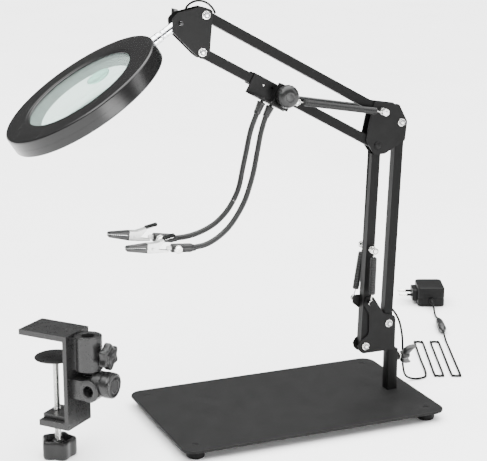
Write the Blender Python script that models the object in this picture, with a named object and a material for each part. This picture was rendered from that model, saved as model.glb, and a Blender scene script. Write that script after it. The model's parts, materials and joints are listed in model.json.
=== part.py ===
"""Helping-hands station: steel base, post, spring-balanced arm, ring magnifier lamp, two
gooseneck clips on a sliding holder, supply lead with its plug-in adapter, and the desk clamp
that comes with it. Metres, +Z up, standing on its rubber feet at z = 0.

The arm moves in the plane y = ARM_Y. Most arm pieces are drawn in that plane as (x, z) and
given a thickness in y, measured from the arm plane."""

from math import atan2, cos, pi, radians, sin

import bmesh
import bpy
from mathutils import Matrix, Vector

# ---------------------------------------------------------------- driving dimensions
GAP = 0.0003                 # clearance between pieces that touch
BASE_LENGTH = 0.300
BASE_WIDTH = 0.183
BASE_THICK = 0.003
BASE_CORNER = 0.014
FOOT_HEIGHT = 0.010
FOOT_RADIUS = 0.0095
FOOT_INSET = 0.017
POST_X = BASE_LENGTH / 2 - 0.0255
ARM_Y = -0.008
POST_SIDE = 0.0125
POST_HEIGHT = 0.047
PIN_RADIUS = 0.004           # swivel pin under the lower bracket
PIN_LENGTH = 0.032

TUBE = 0.010                 # outer side of the square arm tubes
TUBE_WALL = 0.001
BOLT_SHANK = 0.0019
PLATE = 0.0015               # bracket sheet thickness
LAP = 0.009                  # length of the half-lapped tube ends
LOWER_LENGTH = 0.2232        # pivot to pivot
UPPER_LENGTH = 0.2255
LOWER_LEAN = 2.3             # degrees right of upright
UPPER_RISE = 28.8            # degrees above level, towards the head

REAR_RISE = Vector((-0.0070, 0.0315))        # post's top to the rear tube's pivot
LOWER_LINK = Vector((-0.0281, -0.0230))      # rear pivot to front pivot
ELBOW_LINK = Vector((-0.0240, 0.0135))       # rear tube's top pivot to the top tube's pivot
UPPER_LINK = Vector((-0.0041, -0.0365))      # top tube to bottom tube
TILT_LINK = Vector((-0.02645, -0.00736))     # top tube's pivot at the head to the tilt pivot

SPRING_RADIUS = 0.0037
SPRING_Y = TUBE / 2 + 0.008  # the springs run in pairs, this far each side of the arm plane
STUD_REACH = SPRING_Y + 0.0042               # half length of the studs that carry springs
EYE_RADIUS = 0.0028
EYE_WIRE = 0.0006
LOWER_SPRING_AT = 0.1098     # along the front tube, from its lower pivot
UPPER_SPRING_AT = 0.113      # along the bottom tube, from the head

RING_RADIUS = 0.085
RING_THICK = 0.018
RING_WINDOW = RING_RADIUS - 0.0275
RING_WALL = 0.002
RING_DROP = 33.5             # degrees, the ring's stem rises towards the head bracket
RING_REACH = RING_RADIUS + 0.033             # ring centre to tilt pivot
RING_STEPS = 40              # facets round the ring
LENS_THICK = 0.0082
LENS_EDGE = 0.003
LENS_SEAT = 0.0050           # lens rim overlap under the window's lip
INSET_RADIUS = 0.0125
STEM_RADIUS = 0.0035
STEM_COLLAR = 0.0055
STEM_STUB = 0.0024           # the stem's end inside the ring's rim

FACE_STEP = 0.0002           # joined solids' faces stop this far from one plane
HOLDER_AT = 0.0610           # left edge of the clip holder along the bottom tube, from the head
GOOSENECK_RADIUS = 0.0028
FERRULE_LENGTH = 0.015
SOCKET_RADIUS = 0.0042
CLIP_LENGTH = 0.048
CLIP_WIDTH = 0.0068

CORD_RADIUS = 0.00125
CLAMP_CENTRE = Vector((-BASE_LENGTH / 2 - 0.1095, -0.0170))    # the loose desk clamp stands here
CLAMP_TURN = 130.0                           # degrees, direction that its jaws open towards
CLAMP_HEIGHT = 0.0975
CLAMP_WIDTH = 0.040
CLAMP_REACH = 0.056
CLAMP_SCREW_RADIUS = 0.0032


# ---------------------------------------------------------------- worked-out places
def turned(length, degrees):
    return Vector((length * cos(radians(degrees)), length * sin(radians(degrees))))


DECK_Z = FOOT_HEIGHT + BASE_THICK
POST_TOP = DECK_Z + POST_HEIGHT
REAR_PIVOT = Vector((POST_X, POST_TOP)) + REAR_RISE
FRONT_PIVOT = REAR_PIVOT + LOWER_LINK
ELBOW_REAR = REAR_PIVOT + turned(LOWER_LENGTH, 90 - LOWER_LEAN)
ELBOW_SHARED = ELBOW_REAR + LOWER_LINK
ELBOW_TOP = ELBOW_SHARED - UPPER_LINK
HEAD_TOP = ELBOW_TOP + turned(UPPER_LENGTH, 180 - UPPER_RISE)
HEAD_BOTTOM = HEAD_TOP + UPPER_LINK
ALONG = turned(1, -UPPER_RISE)               # along the upper tubes, head to elbow
ACROSS = turned(1, 90 - UPPER_RISE)          # square to them, upwards
INNER = TUBE / 2 + GAP                       # bracket sheets start here, each side of the arm plane
OUTER = INNER + PLATE
STEM = turned(1, RING_DROP)
TILT_PIVOT = HEAD_TOP + TILT_LINK
RING_CENTRE = TILT_PIVOT - RING_REACH * STEM


# ---------------------------------------------------------------- making solids
def material(name, colour, roughness, metallic=0.0):
    made = bpy.data.materials.new(name)
    made.use_nodes = True
    shader = made.node_tree.nodes["Principled BSDF"]
    shader.inputs["Base Color"].default_value = (*colour, 1)
    shader.inputs["Roughness"].default_value = roughness
    shader.inputs["Metallic"].default_value = metallic
    made.diffuse_color = (*colour, 1)
    return made


def at(point, y=0.0):
    """The world place of an (x, z) point of the arm plane."""
    return Vector((point[0], ARM_Y + y, point[1]))


def frame(origin, z_axis, x_axis):
    """A placing matrix with its Z along z_axis and its X as near x_axis as that allows."""
    z = Vector(z_axis).normalized()
    y = z.cross(Vector(x_axis)).normalized()
    x = y.cross(z)
    placed = Matrix((x, y, z)).transposed().to_4x4()
    placed.translation = Vector(origin)
    return placed


def closed(bm, placed=None):
    bmesh.ops.recalc_face_normals(bm, faces=bm.faces)
    if placed is not None:
        bmesh.ops.transform(bm, matrix=placed, verts=bm.verts)
    return bm


def prism(outline, low, high, placed=None):
    """A flat outline in local XY, from local z = low to high."""
    bm = bmesh.new()
    rings = [[bm.verts.new((p[0], p[1], z)) for p in outline] for z in (low, high)]
    bm.faces.new(rings[0])
    bm.faces.new(rings[1])
    count = len(outline)
    for i in range(count):
        j = (i + 1) % count
        bm.faces.new((rings[0][i], rings[0][j], rings[1][j], rings[1][i]))
    return closed(bm, placed)


def sheet(outline, low, high):
    """An outline of arm-plane points, from y = low to high beside the arm plane."""
    placed = frame((0, ARM_Y, 0), (0, -1, 0), (1, 0, 0))
    return prism(outline, -high, -low, placed)


def box(size, centre=(0, 0, 0), placed=None):
    x, y, z = (s / 2 for s in size)
    moved = Matrix.Translation(centre)
    bm = prism([(-x, -y), (x, -y), (x, y), (-x, y)], -z, z, moved)
    return closed(bm, placed)


def turned_solid(profile, placed, steps=16):
    """Turns a closed (radius, height) profile about local Z. Points at radius 0 close the poles."""
    bm = bmesh.new()
    rows = []
    for radius, height in profile:
        if radius < 1e-7:
            rows.append([bm.verts.new((0, 0, height))] * steps)
            continue
        angles = [2 * pi * i / steps for i in range(steps)]
        rows.append([bm.verts.new((radius * cos(a), radius * sin(a), height)) for a in angles])
    count = len(rows)
    last = count - 1 if profile[0][0] < 1e-7 and profile[-1][0] < 1e-7 else count
    for r in range(last):
        low, high = rows[r], rows[(r + 1) % count]
        for i in range(steps):
            j = (i + 1) % steps
            corners = list(dict.fromkeys((low[i], low[j], high[j], high[i])))
            bm.faces.new(corners)
    return closed(bm, placed)


def rod(start, end, radius, steps=16, end_radius=None):
    start, end = Vector(start), Vector(end)
    length = (end - start).length
    side = (1, 0, 0) if abs((end - start).normalized().x) < 0.8 else (0, 1, 0)
    tip = radius if end_radius is None else end_radius
    profile = [(0, 0), (radius, 0), (tip, length), (0, length)]
    return turned_solid(profile, frame(start, end - start, side), steps)


def ring_wire(centre, axis, radius, wire, steps=10, sides=5):
    angles = [2 * pi * i / sides for i in range(sides)]
    profile = [(radius + wire * cos(a), wire * sin(a)) for a in angles]
    side = (1, 0, 0) if abs(Vector(axis).normalized().x) < 0.8 else (0, 1, 0)
    return turned_solid(profile, frame(centre, axis, side), steps)


def rounded(corners, steps=4):
    """Rounds an outline whose corners are (x, y, radius)."""
    points = []
    count = len(corners)
    for i, (x, y, radius) in enumerate(corners):
        here = Vector((x, y))
        if radius <= 0:
            points.append(here)
            continue
        before = (Vector(corners[i - 1][:2]) - here).normalized()
        after = (Vector(corners[(i + 1) % count][:2]) - here).normalized()
        half = before.angle(after) / 2
        reach = radius * cos(half) / sin(half)
        centre = here + (before + after).normalized() * radius / sin(half)
        start = here + before * reach - centre
        end = here + after * reach - centre
        first = atan2(start.y, start.x)
        sweep = (atan2(end.y, end.x) - first + pi) % (2 * pi) - pi
        for k in range(steps + 1):
            angle = first + sweep * k / steps
            points.append(centre + radius * Vector((cos(angle), sin(angle))))
    return points


def stadium(length, half, steps=4):
    """A bar's outline from x = 0 to length, with round ends of radius half beyond both."""
    points = []
    for centre, first in ((0, 90), (length, -90)):
        for k in range(steps + 1):
            angle = radians(first + 180 * k / steps)
            points.append(Vector((centre + half * cos(angle), half * sin(angle))))
    return points


def add(name, bm, finish, origin=(0, 0, 0)):
    """A named piece, with its object's origin on its joint or fixing point."""
    mesh = bpy.data.meshes.new(name)
    bmesh.ops.translate(bm, vec=-Vector(origin), verts=bm.verts)
    bm.to_mesh(mesh)
    bm.free()
    mesh.shade_smooth()
    mesh.set_sharp_from_angle(angle=radians(32))
    mesh.materials.append(finish)
    piece = bpy.data.objects.new(name, mesh)
    piece.location = origin
    piece.parent = STATION
    bpy.context.scene.collection.objects.link(piece)
    return piece


def boolean(piece, bm, operation):
    """Joins or cuts a piece with a hidden tool solid, drawn in the same place."""
    tool = add(piece.name + ".tool", bm, piece.data.materials[0], piece.location)
    tool.hide_render = True
    tool.display_type = "WIRE"
    step = piece.modifiers.new(operation.title(), "BOOLEAN")
    step.operation = operation
    step.solver = "EXACT"
    step.object = tool


def join(piece, *solids):
    for bm in solids:
        boolean(piece, bm, "UNION")


def cut(piece, *solids):
    for bm in solids:
        boolean(piece, bm, "DIFFERENCE")


def hole_y(point, radius=BOLT_SHANK + GAP, low=-0.03, high=0.03, steps=10):
    """A round cutter along y through a point of the arm plane."""
    return rod(at(point, low), at(point, high), radius, steps)


def path_tube(name, points, radius, finish, sides=2):
    """A solid cord or flexible arm along a smooth path."""
    curve = bpy.data.curves.new(name, "CURVE")
    curve.dimensions = "3D"
    curve.bevel_depth = radius
    curve.bevel_resolution = sides
    curve.use_fill_caps = True
    spline = curve.splines.new("POLY")
    spline.points.add(len(points) - 1)
    for knot, point in zip(spline.points, points):
        knot.co = (*point, 1)
    curve.materials.append(finish)
    tube = bpy.data.objects.new(name, curve)
    tube.parent = STATION
    bpy.context.scene.collection.objects.link(tube)
    return tube


def smooth_path(route, steps):
    """A Catmull-Rom curve through the route's points, with this many steps between two of them."""
    knots = [Vector(p) for p in route]
    knots = [2 * knots[0] - knots[1], *knots, 2 * knots[-1] - knots[-2]]
    points = []
    for i in range(1, len(knots) - 2):
        a, b, c, d = knots[i - 1:i + 3]
        for k in range(steps):
            t = k / steps
            points.append(0.5 * (2 * b + (c - a) * t + (2 * a - 5 * b + 4 * c - d) * t * t
                                 + (3 * b - a - 3 * c + d) * t ** 3))
    points.append(knots[-2])
    return points


# ---------------------------------------------------------------- shared pieces
def stud(name, point, finish):
    """A pivot bolt through a bracket: round head in front, nut behind."""
    face = OUTER + GAP
    profile = [(0, -face - 0.0026), (0.0024, -face - 0.0026), (0.0040, -face - 0.0014),
               (0.0040, -face), (BOLT_SHANK, -face), (BOLT_SHANK, face), (0.0038, face),
               (0.0038, face + 0.0028), (BOLT_SHANK, face + 0.0028), (BOLT_SHANK, face + 0.0045),
               (0, face + 0.0045)]
    placed = frame(at(point), (0, 1, 0), (1, 0, 0))
    return add(name, turned_solid(profile, placed, 10), finish, at(point))


def spring_stud_profile(inner_collar):
    """Half of a stud that carries a spring's eye at SPRING_Y, from its middle to its end."""
    eye = EYE_WIRE + GAP
    profile = [(BOLT_SHANK, 0)]
    if inner_collar:
        profile += [(BOLT_SHANK, OUTER + GAP), (0.0038, OUTER + GAP), (0.0038, OUTER + 0.0030),
                    (BOLT_SHANK, OUTER + 0.0030)]
    return profile + [(BOLT_SHANK, SPRING_Y + eye), (0.0032, SPRING_Y + eye),
                      (0.0032, STUD_REACH), (0, STUD_REACH)]


def spring_stud(point, inner_collar):
    half = spring_stud_profile(inner_collar)[1:]
    profile = [(r, -h) for r, h in reversed(half)] + half
    return turned_solid(profile, frame(at(point), (0, 1, 0), (1, 0, 0)), 10)


def spring(name, start, end, y, finish, bare_start=0.009, bare_end=0.009):
    """A close-wound extension spring with an eye round a stud at each end."""
    start, end = at(start, y), at(end, y)
    way = (end - start).normalized()
    piece = add(name, rod(start + way * bare_start, end - way * bare_end, SPRING_RADIUS, 10),
                finish, start)
    for centre, towards, bare in ((start, way, bare_start), (end, -way, bare_end)):
        join(piece, ring_wire(centre, (0, 1, 0), EYE_RADIUS, EYE_WIRE))
        neck = centre + towards * EYE_RADIUS
        join(piece, rod(neck, centre + towards * (bare + 0.001), 0.0009, 6))
    return piece


def arm_tube(name, start, end, finish):
    """A hollow square tube with round-nosed side walls and a pivot hole at each end."""
    length = (end - start).length
    way = end - start
    placed = frame(at(start), (0, -1, 0), (way.x, 0, way.y))
    piece = add(name, prism(stadium(length, TUBE / 2), -TUBE / 2, TUBE / 2, placed), finish, at(start))
    inside = TUBE - 2 * TUBE_WALL
    cut(piece, box((length + 3 * TUBE, inside, inside), (length / 2, 0, 0), placed))
    cut(piece, hole_y(start), hole_y(end))
    return piece


def half_lap(piece, pivot, towards, keep_front):
    """Cuts away one half of a tube's width round a pivot that two tubes share."""
    side = 1 if keep_front else -1
    way = (towards - pivot).normalized()
    placed = frame(at(pivot), (0, 1, 0), (way.x, 0, way.y))
    depth = TUBE
    middle = side * (depth / 2 - GAP / 2)
    cut(piece, box((LAP + TUBE, 3 * TUBE, depth), (LAP / 2 - TUBE / 2, 0, middle), placed))


def wing_screw(name, seat, outward, spread, shank, finish, span=0.012, stand=0.003, thick=0.0036):
    """A thumb screw with two flared wings. Its thread runs back from the seat by the shank length."""
    placed = frame(seat, outward, spread)
    profile = [(0, -shank), (0.0020, -shank), (0.0020, stand), (0.0045, stand), (0.0050, stand + 0.004),
               (0.0045, stand + 0.009), (0, stand + 0.009)]
    piece = add(name, turned_solid(profile, placed, 10), finish, seat)
    wing = rounded([(0.001, stand + 0.0015, 0), (span * 0.75, stand + 0.0030, 0.003),
                    (span, stand + 0.0085, 0.002), (span * 0.9, stand + 0.0145, 0.003),
                    (span * 0.5, stand + 0.0120, 0.003), (0.001, stand + 0.0070, 0)], 3)
    for flip in (1, -1):
        upright = placed @ Matrix(((flip, 0, 0, 0), (0, 0, 1, 0), (0, 1, 0, 0), (0, 0, 0, 1)))
        join(piece, prism(wing, -thick / 2, thick / 2, upright))
    return piece


# ---------------------------------------------------------------- base and post
def foot_places():
    x = BASE_LENGTH / 2 - FOOT_INSET
    y = BASE_WIDTH / 2 - FOOT_INSET
    return {"front_left": (-x, -y), "front_right": (x, -y), "rear_left": (-x, y), "rear_right": (x, y)}


def make_base():
    x, y = BASE_LENGTH / 2, BASE_WIDTH / 2
    outline = rounded([(sx * x, sy * y, BASE_CORNER) for sx, sy in ((-1, -1), (1, -1), (1, 1), (-1, 1))], 7)
    plate = add("base_plate", prism(outline, FOOT_HEIGHT, DECK_Z), STEEL_BLACK)
    edge = plate.modifiers.new("Edge", "BEVEL")
    edge.width = 0.0005
    edge.segments = 1
    edge.limit_method = "ANGLE"
    edge.angle_limit = radians(60)
    for place in foot_places().values():
        cut(plate, rod((*place, 0), (*place, 0.03), 0.0018, 12))
    cut(plate, rod((POST_X, ARM_Y, 0), (POST_X, ARM_Y, 0.03), 0.0033, 10))
    for name, place in foot_places().items():
        top = FOOT_HEIGHT - GAP
        profile = [(0, 0), (FOOT_RADIUS * 0.88, 0), (FOOT_RADIUS, 0.0015), (FOOT_RADIUS, top),
                   (0.0015, top), (0.0015, DECK_Z - GAP), (0, DECK_Z - GAP)]
        add("foot_" + name, turned_solid(profile, Matrix.Translation((*place, 0)), 14), RUBBER, (*place, 0))


def make_post():
    half = POST_SIDE / 2
    centre = (POST_X, ARM_Y, DECK_Z + GAP)
    outline = rounded([(sx * half, sy * half, 0.0012) for sx, sy in ((-1, -1), (1, -1), (1, 1), (-1, 1))], 2)
    post = add("base_post", prism(outline, GAP, POST_HEIGHT, Matrix.Translation((POST_X, ARM_Y, DECK_Z))),
               STEEL_BLACK, centre)
    join(post, rod((POST_X, ARM_Y, FOOT_HEIGHT + 0.0004), (POST_X, ARM_Y, DECK_Z + 0.002), 0.0030, 10))
    seat = (POST_X + half + 0.0035, ARM_Y, POST_TOP - 0.0105)
    join(post, rod((POST_X + half - 0.001, *seat[1:]), seat, 0.0050, 10))
    cut(post, rod((POST_X, ARM_Y, POST_TOP - PIN_LENGTH - 0.001), (POST_X, ARM_Y, POST_TOP + 0.01),
                  PIN_RADIUS + GAP, 12))
    cut(post, rod((POST_X, *seat[1:]), (seat[0] + 0.01, *seat[1:]), 0.0020 + GAP, 12))
    wing_screw("post_wing_screw", (seat[0] + GAP, *seat[1:]), (1, 0, 0), (0, -0.55, 1),
               seat[0] + GAP - POST_X - PIN_RADIUS - GAP, STEEL_BLACK, span=0.0125, stand=0.0035)


# ---------------------------------------------------------------- lower bracket and arm
def lower_plate_outline(ear):
    """A side plate: round the two pivots, hollow in front, with an ear for a spring's eye."""
    rear, front = REAR_PIVOT, FRONT_PIVOT
    floor = POST_TOP + GAP
    return rounded([
        (rear.x + 0.0085, floor, 0.001), (front.x - 0.004, floor, 0.006),
        (front.x - 0.0125, front.y + 0.002, 0.007), (front.x + 0.004, front.y + 0.013, 0.006),
        (front.x + 0.0035, front.y + 0.036, 0.004), (ear.x - 0.0058, ear.y - 0.003, 0.003),
        (ear.x - 0.003, ear.y + 0.0058, 0.003), (ear.x + 0.0055, ear.y + 0.0052, 0.003),
        (rear.x - 0.006, rear.y + 0.0115, 0.004), (rear.x + 0.0085, rear.y + 0.0085, 0.006)], 2)


def spring_ears():
    return {"rear": FRONT_PIVOT + Vector((-0.0050, 0.0505)), "front": FRONT_PIVOT + Vector((0.0030, 0.0505))}


def make_lower_bracket():
    origin = Vector((POST_X, ARM_Y, POST_TOP + GAP))
    ears = spring_ears()
    bracket = add("lower_bracket", sheet(lower_plate_outline(ears["front"]), -OUTER, -INNER),
                  STEEL_BLACK, origin)
    join(bracket, sheet(lower_plate_outline(ears["rear"]), INNER, OUTER))
    floor = origin.z
    web = [(FRONT_PIVOT.x + 0.008, floor), (REAR_PIVOT.x + 0.0085, floor),
           (REAR_PIVOT.x + 0.0085, floor + 0.002), (FRONT_PIVOT.x + 0.008, floor + 0.002)]
    join(bracket, sheet(web, -INNER - PLATE / 2, INNER + PLATE / 2))
    join(bracket, rod((POST_X, ARM_Y, POST_TOP - PIN_LENGTH), (POST_X, ARM_Y, floor + 0.001), PIN_RADIUS, 12))
    for side, ear in ears.items():
        y = -1 if side == "front" else 1
        tip = SPRING_Y + EYE_WIRE + 2 * GAP
        join(bracket, rod(at(ear, y * (OUTER - 0.0005)), at(ear, y * tip), BOLT_SHANK, 12))
        join(bracket, rod(at(ear, y * (tip - GAP)), at(ear, y * (tip + 0.0012)), 0.0032, 12))
    relief = at(REAR_PIVOT + Vector((0.0035, 0.0125)))
    tab = (REAR_PIVOT.x + 0.0035, ARM_Y + OUTER - 0.0007, relief.z - 0.003)
    join(bracket, box((0.008, 0.0015, 0.010), tab))
    eyelet = (relief + Vector((0, OUTER - 0.001, 0)), relief + Vector((0, OUTER + 0.0030, 0)))
    join(bracket, rod(*eyelet, 0.0030, 12))
    cut(bracket, hole_y(REAR_PIVOT), hole_y(FRONT_PIVOT))
    stud("lower_bolt_rear", REAR_PIVOT, STEEL_BRIGHT)
    stud("lower_bolt_front", FRONT_PIVOT, STEEL_BRIGHT)


def make_lower_arm():
    arm_tube("lower_rear_tube", REAR_PIVOT, ELBOW_REAR, STEEL_BLACK)
    front = arm_tube("lower_front_tube", FRONT_PIVOT, ELBOW_SHARED, STEEL_BLACK)
    half_lap(front, ELBOW_SHARED, FRONT_PIVOT, keep_front=False)
    carrier = FRONT_PIVOT + (ELBOW_SHARED - FRONT_PIVOT).normalized() * LOWER_SPRING_AT
    join(front, spring_stud(carrier, inner_collar=False))
    ears = spring_ears()
    spring("lower_spring_front", carrier, ears["front"], -SPRING_Y, STEEL_DARK, 0.0075, 0.010)
    spring("lower_spring_rear", carrier, ears["rear"], SPRING_Y, STEEL_DARK, 0.0075, 0.010)


# ---------------------------------------------------------------- elbow and upper arm
def make_elbow():
    top, rear, shared = ELBOW_TOP, ELBOW_REAR, ELBOW_SHARED
    outline = rounded([
        (top.x - 0.0085, top.y + 0.0110, 0.003), (rear.x - 0.0030, rear.y + 0.0195, 0.003),
        (rear.x + 0.0070, rear.y + 0.0010, 0.004), (rear.x + 0.0050, rear.y - 0.0200, 0.004),
        (shared.x + 0.0090, shared.y - 0.0095, 0.004), (shared.x - 0.0030, shared.y - 0.0100, 0.004),
        (shared.x - 0.0140, shared.y + 0.0060, 0.003), (top.x - 0.0120, top.y - 0.0020, 0.002)], 2)
    bracket = add("elbow_bracket", sheet(outline, -OUTER, -INNER), STEEL_BLACK, at(ELBOW_REAR))
    join(bracket, sheet(outline, INNER, OUTER))
    left = Vector((top.x + 0.0105, top.y + 0.0080))
    right = Vector((rear.x - 0.0040, rear.y + 0.0180))
    drop = Vector((0, -PLATE))
    join(bracket, sheet([left, right, right + drop, left + drop], -INNER - PLATE / 2, INNER + PLATE / 2))
    cut(bracket, hole_y(top), hole_y(rear), hole_y(shared))
    stud("elbow_bolt_rear", rear, STEEL_BRIGHT)
    stud("elbow_bolt_shared", shared, STEEL_BRIGHT)
    add("elbow_spring_bolt", spring_stud(top, inner_collar=True), STEEL_BRIGHT, at(top))


def make_upper_arm():
    arm_tube("upper_top_tube", ELBOW_TOP, HEAD_TOP, STEEL_BLACK)
    bottom = arm_tube("upper_bottom_tube", ELBOW_SHARED, HEAD_BOTTOM, STEEL_BLACK)
    half_lap(bottom, ELBOW_SHARED, HEAD_BOTTOM, keep_front=True)
    carrier = HEAD_BOTTOM + ALONG * UPPER_SPRING_AT
    join(bottom, spring_stud(carrier, inner_collar=False))
    spring("upper_spring_front", ELBOW_TOP, carrier, -SPRING_Y, STEEL_DARK, 0.0095, 0.009)
    spring("upper_spring_rear", ELBOW_TOP, carrier, SPRING_Y, STEEL_DARK, 0.0095, 0.009)


# ---------------------------------------------------------------- head bracket, knuckle, stem
def make_head_bracket():
    top, bottom, tilt = HEAD_TOP, HEAD_BOTTOM, TILT_PIVOT
    nose = TUBE / 2 + 0.0015
    outline = rounded([
        (tilt.x - 0.0090, tilt.y + 0.0050, 0.004), (tilt.x - 0.0080, tilt.y - 0.0085, 0.003),
        (bottom.x - nose, bottom.y - 0.0030, 0.003), (bottom.x - 0.0010, bottom.y - 0.0070, 0.004),
        (bottom.x + 0.0075, bottom.y - 0.0050, 0.003), (top.x + 0.0075, top.y + 0.0045, 0.004),
        (top.x - 0.0040, top.y + 0.0085, 0.004), (tilt.x - 0.0030, tilt.y + 0.0105, 0.003)], 2)
    bracket = add("head_bracket", sheet(outline, -OUTER, -INNER), STEEL_BLACK, at(HEAD_TOP))
    join(bracket, sheet(outline, INNER, OUTER))
    corner = Vector((bottom.x - nose, bottom.y - 0.0015))
    start = corner + Vector((-0.0105, 0.0103))
    inward = Vector((0.7, 0.714)) * PLATE
    web = [corner, corner + inward, start + inward, start]
    join(bracket, sheet(web, -INNER - PLATE / 2, INNER + PLATE / 2))
    cut(bracket, hole_y(top), hole_y(bottom), hole_y(tilt))
    stud("head_bolt_top", top, STEEL_BRIGHT)
    stud("head_bolt_bottom", bottom, STEEL_BRIGHT)


def make_knuckle():
    """The tilting eye between the head bracket's plates, with the barrel that the stem turns in."""
    pivot = at(TILT_PIVOT)
    down = -Vector((STEM.x, 0, STEM.y))
    eye = INNER - GAP
    knuckle = add("head_knuckle", rod(at(TILT_PIVOT, -eye), at(TILT_PIVOT, eye), 0.0062, 14), CHROME, pivot)
    join(knuckle, rod(pivot + down * 0.003, pivot + down * 0.021, 0.0049, 12))
    cut(knuckle, rod(pivot + down * 0.0085, pivot + down * 0.030, STEM_RADIUS + GAP, 12))
    cut(knuckle, hole_y(TILT_PIVOT, 0.0020 + GAP))
    seat = at(TILT_PIVOT, OUTER + GAP)
    wing_screw("tilt_wing_screw", seat, (0, 1, 0), (0.25, 0, 1), 2 * OUTER + 3 * GAP + 0.0015,
               STEEL_BLACK, span=0.0125, stand=0.002)
    near = RING_REACH - RING_RADIUS - GAP
    shaft = rod(pivot + down * 0.0090, pivot + down * (near - 0.002), STEM_RADIUS, 12)
    stem = add("ring_stem", shaft, CHROME, pivot + down * 0.012)
    join(stem, rod(pivot + down * 0.0222, pivot + down * near, STEM_COLLAR, 14))
    join(stem, rod(pivot + down * (near - 0.001), pivot + down * (near + 0.0060), STEM_STUB, 10))


def make_head_cable():
    """The short lead that loops over the head bracket from the knuckle to the top tube."""
    side = HEAD_TOP + ACROSS * (TUBE / 2)
    route = [at(side + Vector(p)) for p in ((-0.0229, -0.0029), (-0.0199, 0.0041), (-0.0134, 0.0084),
                                            (-0.0054, 0.0091), (0.0021, 0.0061), (0.0076, 0.0006),
                                            (0.0098, -0.0038))]
    path_tube("head_cable", smooth_path(route, 3), 0.0011, RUBBER)


# ---------------------------------------------------------------- ring magnifier lamp
def ring_frame():
    """Ring axes: Z out of the top face, X towards the head bracket."""
    along = Vector((STEM.x, 0, STEM.y))
    return frame(at(RING_CENTRE), (-STEM.y, 0, STEM.x), along)


def top_housing_profile():
    outer, half, wall = RING_RADIUS, RING_THICK / 2, RING_WALL
    seat = RING_WINDOW + LENS_SEAT + GAP
    return [(RING_WINDOW, half), (outer - 0.0015, half), (outer, half - 0.0015), (outer, -0.0005),
            (outer - wall, -0.0005), (outer - wall, half - wall), (seat + wall, half - wall),
            (seat + wall, 0.0005), (seat, 0.0005), (seat, half - wall), (RING_WINDOW, half - wall)]


def bottom_housing_profile():
    outer, half, wall = RING_RADIUS, RING_THICK / 2, RING_WALL
    return [(RING_WINDOW, -0.0008), (outer, -0.0008), (outer, 0.0012 - half), (outer - 0.0012, -half),
            (outer - wall, -half), (outer - wall, -0.0008 - wall), (RING_WINDOW + wall, -0.0008 - wall),
            (RING_WINDOW + wall, -half), (RING_WINDOW, -half)]


def annulus(inner, outer, low, high):
    return [(inner, low), (outer, low), (outer, high), (inner, high)]


def lens_profile(rim, middle, edge, bulge, steps=4):
    """A biconvex lens, from its upper pole round the rim to its lower pole."""
    upper = [(rim * k / steps, middle + edge / 2 + bulge * (1 - (k / steps) ** 2)) for k in range(steps + 1)]
    lower = [(r, 2 * middle - z) for r, z in reversed(upper)]
    return upper + lower


def make_ring():
    placed = ring_frame()
    half = RING_THICK / 2
    centre = placed.translation
    axis_x = placed.to_3x3() @ Vector((1, 0, 0))
    upper_shell = turned_solid(top_housing_profile(), placed, RING_STEPS)
    lower_shell = turned_solid(bottom_housing_profile(), placed, RING_STEPS)
    top = add("ring_top_housing", upper_shell, PLASTIC_BLACK, centre)
    bottom = add("ring_bottom_housing", lower_shell, PLASTIC_BLACK, centre)
    bore = (centre + axis_x * (RING_RADIUS - 0.007), centre + axis_x * (RING_RADIUS + 0.005))
    cut(top, rod(*bore, STEM_STUB + GAP, 10))
    cut(bottom, rod(*bore, STEM_STUB + GAP, 10))
    inner = RING_WINDOW + RING_WALL + GAP
    outer = RING_RADIUS - RING_WALL - GAP
    under = -0.0008 - RING_WALL - GAP
    board = annulus(inner, outer, under - 0.0016, under)
    add("led_board", turned_solid(board, placed, RING_STEPS), BOARD_WHITE, centre)
    cover = annulus(inner, outer, -half + 0.0003, -half + 0.0018)
    add("light_diffuser", turned_solid(cover, placed, RING_STEPS), DIFFUSER, centre)
    rim = RING_WINDOW + LENS_SEAT
    bulge = (LENS_THICK - LENS_EDGE) / 2
    lip = bulge * (1 - (RING_WINDOW / rim) ** 2)
    middle = half - RING_WALL - GAP - lip - LENS_EDGE / 2
    glass = turned_solid(lens_profile(rim, middle, LENS_EDGE, bulge), placed, RING_STEPS - 8)
    lens = add("magnifier_lens", glass, GLASS, centre)
    spot = Matrix.Translation((0.0236, 0.0104, 0))
    dome = [(0, middle), (INSET_RADIUS, middle), (INSET_RADIUS, middle - 0.0042),
            (INSET_RADIUS * 0.6, middle - 0.0058), (0, middle - 0.0066)]
    join(lens, turned_solid(dome, placed @ spot, 14))
    make_power_button(top, placed)


def make_power_button(housing, placed):
    """A push button in the rim, on the far side beside the stem."""
    turn = placed @ Matrix.Rotation(radians(40), 4, "Z") @ Matrix.Translation((0, 0, 0.0040))
    outward = turn.to_3x3() @ Vector((1, 0, 0))
    face = turn @ Vector((RING_RADIUS, 0, 0))
    cut(housing, rod(face - outward * 0.006, face + outward * 0.004, 0.0026 + GAP, 10))
    button = add("power_button", rod(face - outward * 0.0035, face + outward * 0.0012, 0.0026, 10),
                 PLASTIC_GREY, face)
    join(button, rod(face - outward * 0.0035, face - outward * (RING_WALL + 0.0006), 0.0029, 10))


# ---------------------------------------------------------------- clip holder and goosenecks
def on_bottom_tube(along, across):
    return HEAD_BOTTOM + ALONG * along + ACROSS * across


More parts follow.
